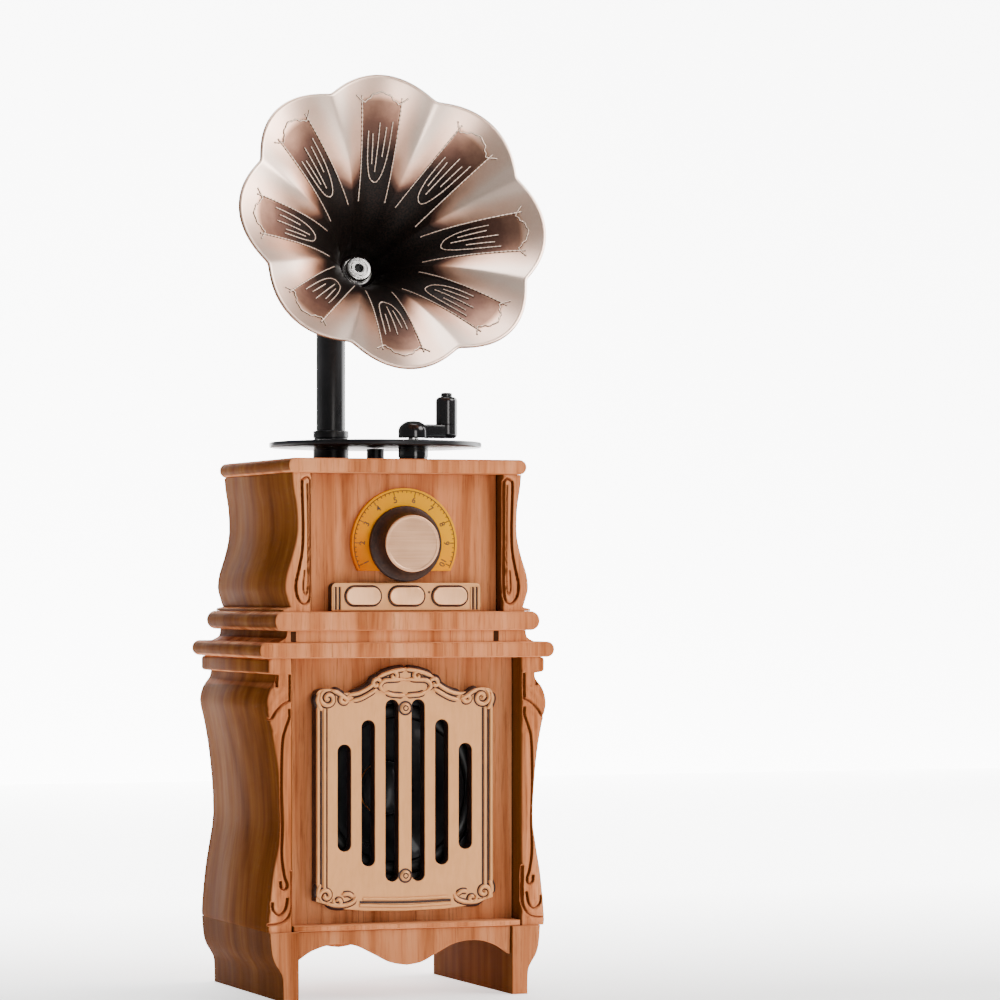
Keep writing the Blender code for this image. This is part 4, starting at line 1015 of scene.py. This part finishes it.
def patina_and_highlight(angle, reach):
    """How dark the bell's inside is drawn: black in the throat and lighter towards the rim, brown patina
    inside the panels, and a painted highlight along the creases between them.
    """
    off = degrees((angle * PETALS / 2 + pi / 2) % pi - pi / 2) / (PETALS / 2)
    dark = np.interp(reach, [0.12, 0.40, 0.48, 0.60, 0.76, 1.0], [1.0, 0.98, 0.60, 0.34, 0.20, 0.10])
    # Painted highlight: the copper along the creases between the panels is drawn lighter.
    crease_highlight = smooth(abs(off), 13.0, 22.5) * smooth(reach, 0.34, 0.50)
    panel = smooth(panel_half(reach) - abs(off), -0.3, 0.7) * (1 - smooth(reach, 0.84, 0.885))
    share = panel * np.interp(reach, [PANEL_FOOT, 0.60, PANEL_HEAD], [0.40, 0.44, 0.36])
    return float(np.clip(dark - 0.22 * crease_highlight + share, 0, 1))


def beaded(points):
    """The line cut into short steps whose thickness rises and falls, as a hand-struck line's does."""
    struck = []
    for a, b in zip(points[:-1], points[1:]):
        steps = max(1, round((b - a).length / (BEAD / 4 * MM)))
        struck += [a.lerp(b, i / steps) for i in range(steps)]
    struck.append(points[-1])
    return [(point, 0.9 + 0.3 * sin(pi / 2 * i)) for i, point in enumerate(struck)]


def make_bell():
    around, stations = PETALS * 54, 84
    verts, rows, layer, closed = [], [], [], []
    for s in range(stations + 1):
        share = (s / stations) ** 0.85
        rows.append(len(verts))
        for k in range(around):
            angle = 2 * pi * k / around + PETAL_TURN
            verts.append(in_horn(bell_point(angle, share)))
            layer.append(patina_and_highlight(angle - PETAL_TURN, exp(FLARE * BELL_LENGTH * (share - 1))))
    for radius in (3.4, 1.7):
        closed.append(len(verts))
        verts += [in_horn((x, y, 0)) for x, y in circle((0, 0), radius, around)]
        layer += [1.0] * around
    pairs = list(zip(rows, rows[1:])) + [(closed[0], rows[0]), (closed[1], closed[0])]
    faces = [(a + k, a + (k + 1) % around, b + (k + 1) % around, b + k)
             for a, b in pairs for k in range(around)]
    bell = mesh_object("bell_petals", verts, faces)
    # This layer carries the panels' patina and the painted crease highlight.
    values = bell.data.attributes.new("patina_and_highlight", "FLOAT", "POINT")
    values.data.foreach_set("value", layer)
    shell = bell.modifiers.new("sheet", "SOLIDIFY")
    shell.thickness = 0.6 * MM
    shell.offset = 1.0
    shell.material_offset = 1
    settle(bell, BELL_BACK, "horn", ["horn_bell"], 180)
    bell.data.materials.append(BELL_METAL)
    lines = []
    for petal in range(PETALS):
        middle = 2 * pi * petal / PETALS + PETAL_TURN
        lines += [[(middle + radians(off), along_share(reach)) for off, reach in line]
                  for line in panel_lines()]
    # The raised lines carry a painted highlight, over wider near-black tubes of painted shadow beside them.
    for name, lift, radius, surface in (("petal_engraving", 0.22, 0.14, HIGHLIGHT_COPPER),
                                        ("petal_engraving_shadow", 0.0, 0.27, SHADOW_COPPER)):
        laid = [beaded([in_horn(bell_point(angle, share, lift)) for angle, share in line]) for line in lines]
        settle(tube(name, laid, radius, 1), surface, "horn")
def make_pipe():
    turn = pi / 2 - HORN_TILT
    elbow = ELBOW_Z - ELBOW_RADIUS * tan(turn / 2)
    line = [(HORN_Y, node_box("horn_tube")[0][2]), (HORN_Y, 180), (HORN_Y, elbow - 1)]
    line += arc((HORN_Y - ELBOW_RADIUS, elbow), ELBOW_RADIUS, 0, degrees(turn), 28)
    end = THROAT_REACH - 1.1
    line.append((HORN_Y - end * cos(HORN_TILT), ELBOW_Z + end * sin(HORN_TILT)))
    pipe = tube("horn_pipe", [[world(HORN_X, y, z) for y, z in line]], 4.4, 12)
    settle(pipe, BLACK, "horn", ["horn_tube"], 60)
    low, high = node_box("horn_collar")
    radius, base, top = (high[0] - low[0]) / 2, low[2], high[2]
    collar = [(4.7, top)] + arc((radius - 0.35, top - 0.35), 0.35, 90, 0, 4) + [
        (radius, top - 2.0), (radius - 0.25, top - 2.2), (radius - 0.25, top - 2.5), (radius, top - 2.7),
        (radius, base), (4.7, base)]
    turned_black("horn_ferrule", collar, (HORN_X, HORN_Y), "cabinet", "horn_collar", loop=True)
    washer = [(1.7, 0.8), (4.0, 0.8), (4.1, 0.65), (4.25, 0.65), (4.35, 0.8), (4.6, 0.6), (4.6, 0.3),
              (1.7, 0.3)]
    settle(lathe("throat_washer", washer, throat(), HORN_TURN, 64, True), STEEL, "horn", ["horn_washer"])
    seat, top = 1.05, 3.0
    head = [(0, seat + 0.5), (1.3, seat + 0.5), (1.35, top - 0.2), (1.5, top), (2.35, top),
            (2.45, top - 0.12), (2.6, top), (3.3, top)] + arc((3.3, top - 0.6), 0.6, 90, 0, 6)
    head += [(3.9, seat + 0.2), (3.7, seat), (1.3, seat), (1.3, -6), (0, -6)]
    settle(lathe("throat_screw", head, throat(), HORN_TURN, 64), STEEL, "horn", ["horn_screw"], 30)
    # A black disc on the floor of the screw's socket: painted shade.
    well = [(0, seat + 0.7), (1.32, seat + 0.7), (1.32, seat + 0.52), (0, seat + 0.52)]
    settle(lathe("throat_screw_socket", well, throat(), HORN_TURN, 32), BLACK, "horn")


# ---- build

def finish_frame_nodes():
    """The solids that stay take the material of their own slot."""
    slots = {part["node"]: part["material_slot"] for part in frame["record"]["subparts"]}
    for node, obj in frame["nodes"].items():
        obj.data.materials.clear()
        obj.data.materials.append(SURFACES[slots[node]][0])


make_stage()
make_lights()
make_camera()
finish_frame_nodes()
make_mouldings()
make_plinth()
make_housings()
make_panels()
make_posts()
make_speaker()
make_grille()
make_knob()
make_dial()
make_buttons()
make_disc()
make_crank()
make_bell()
make_pipe()
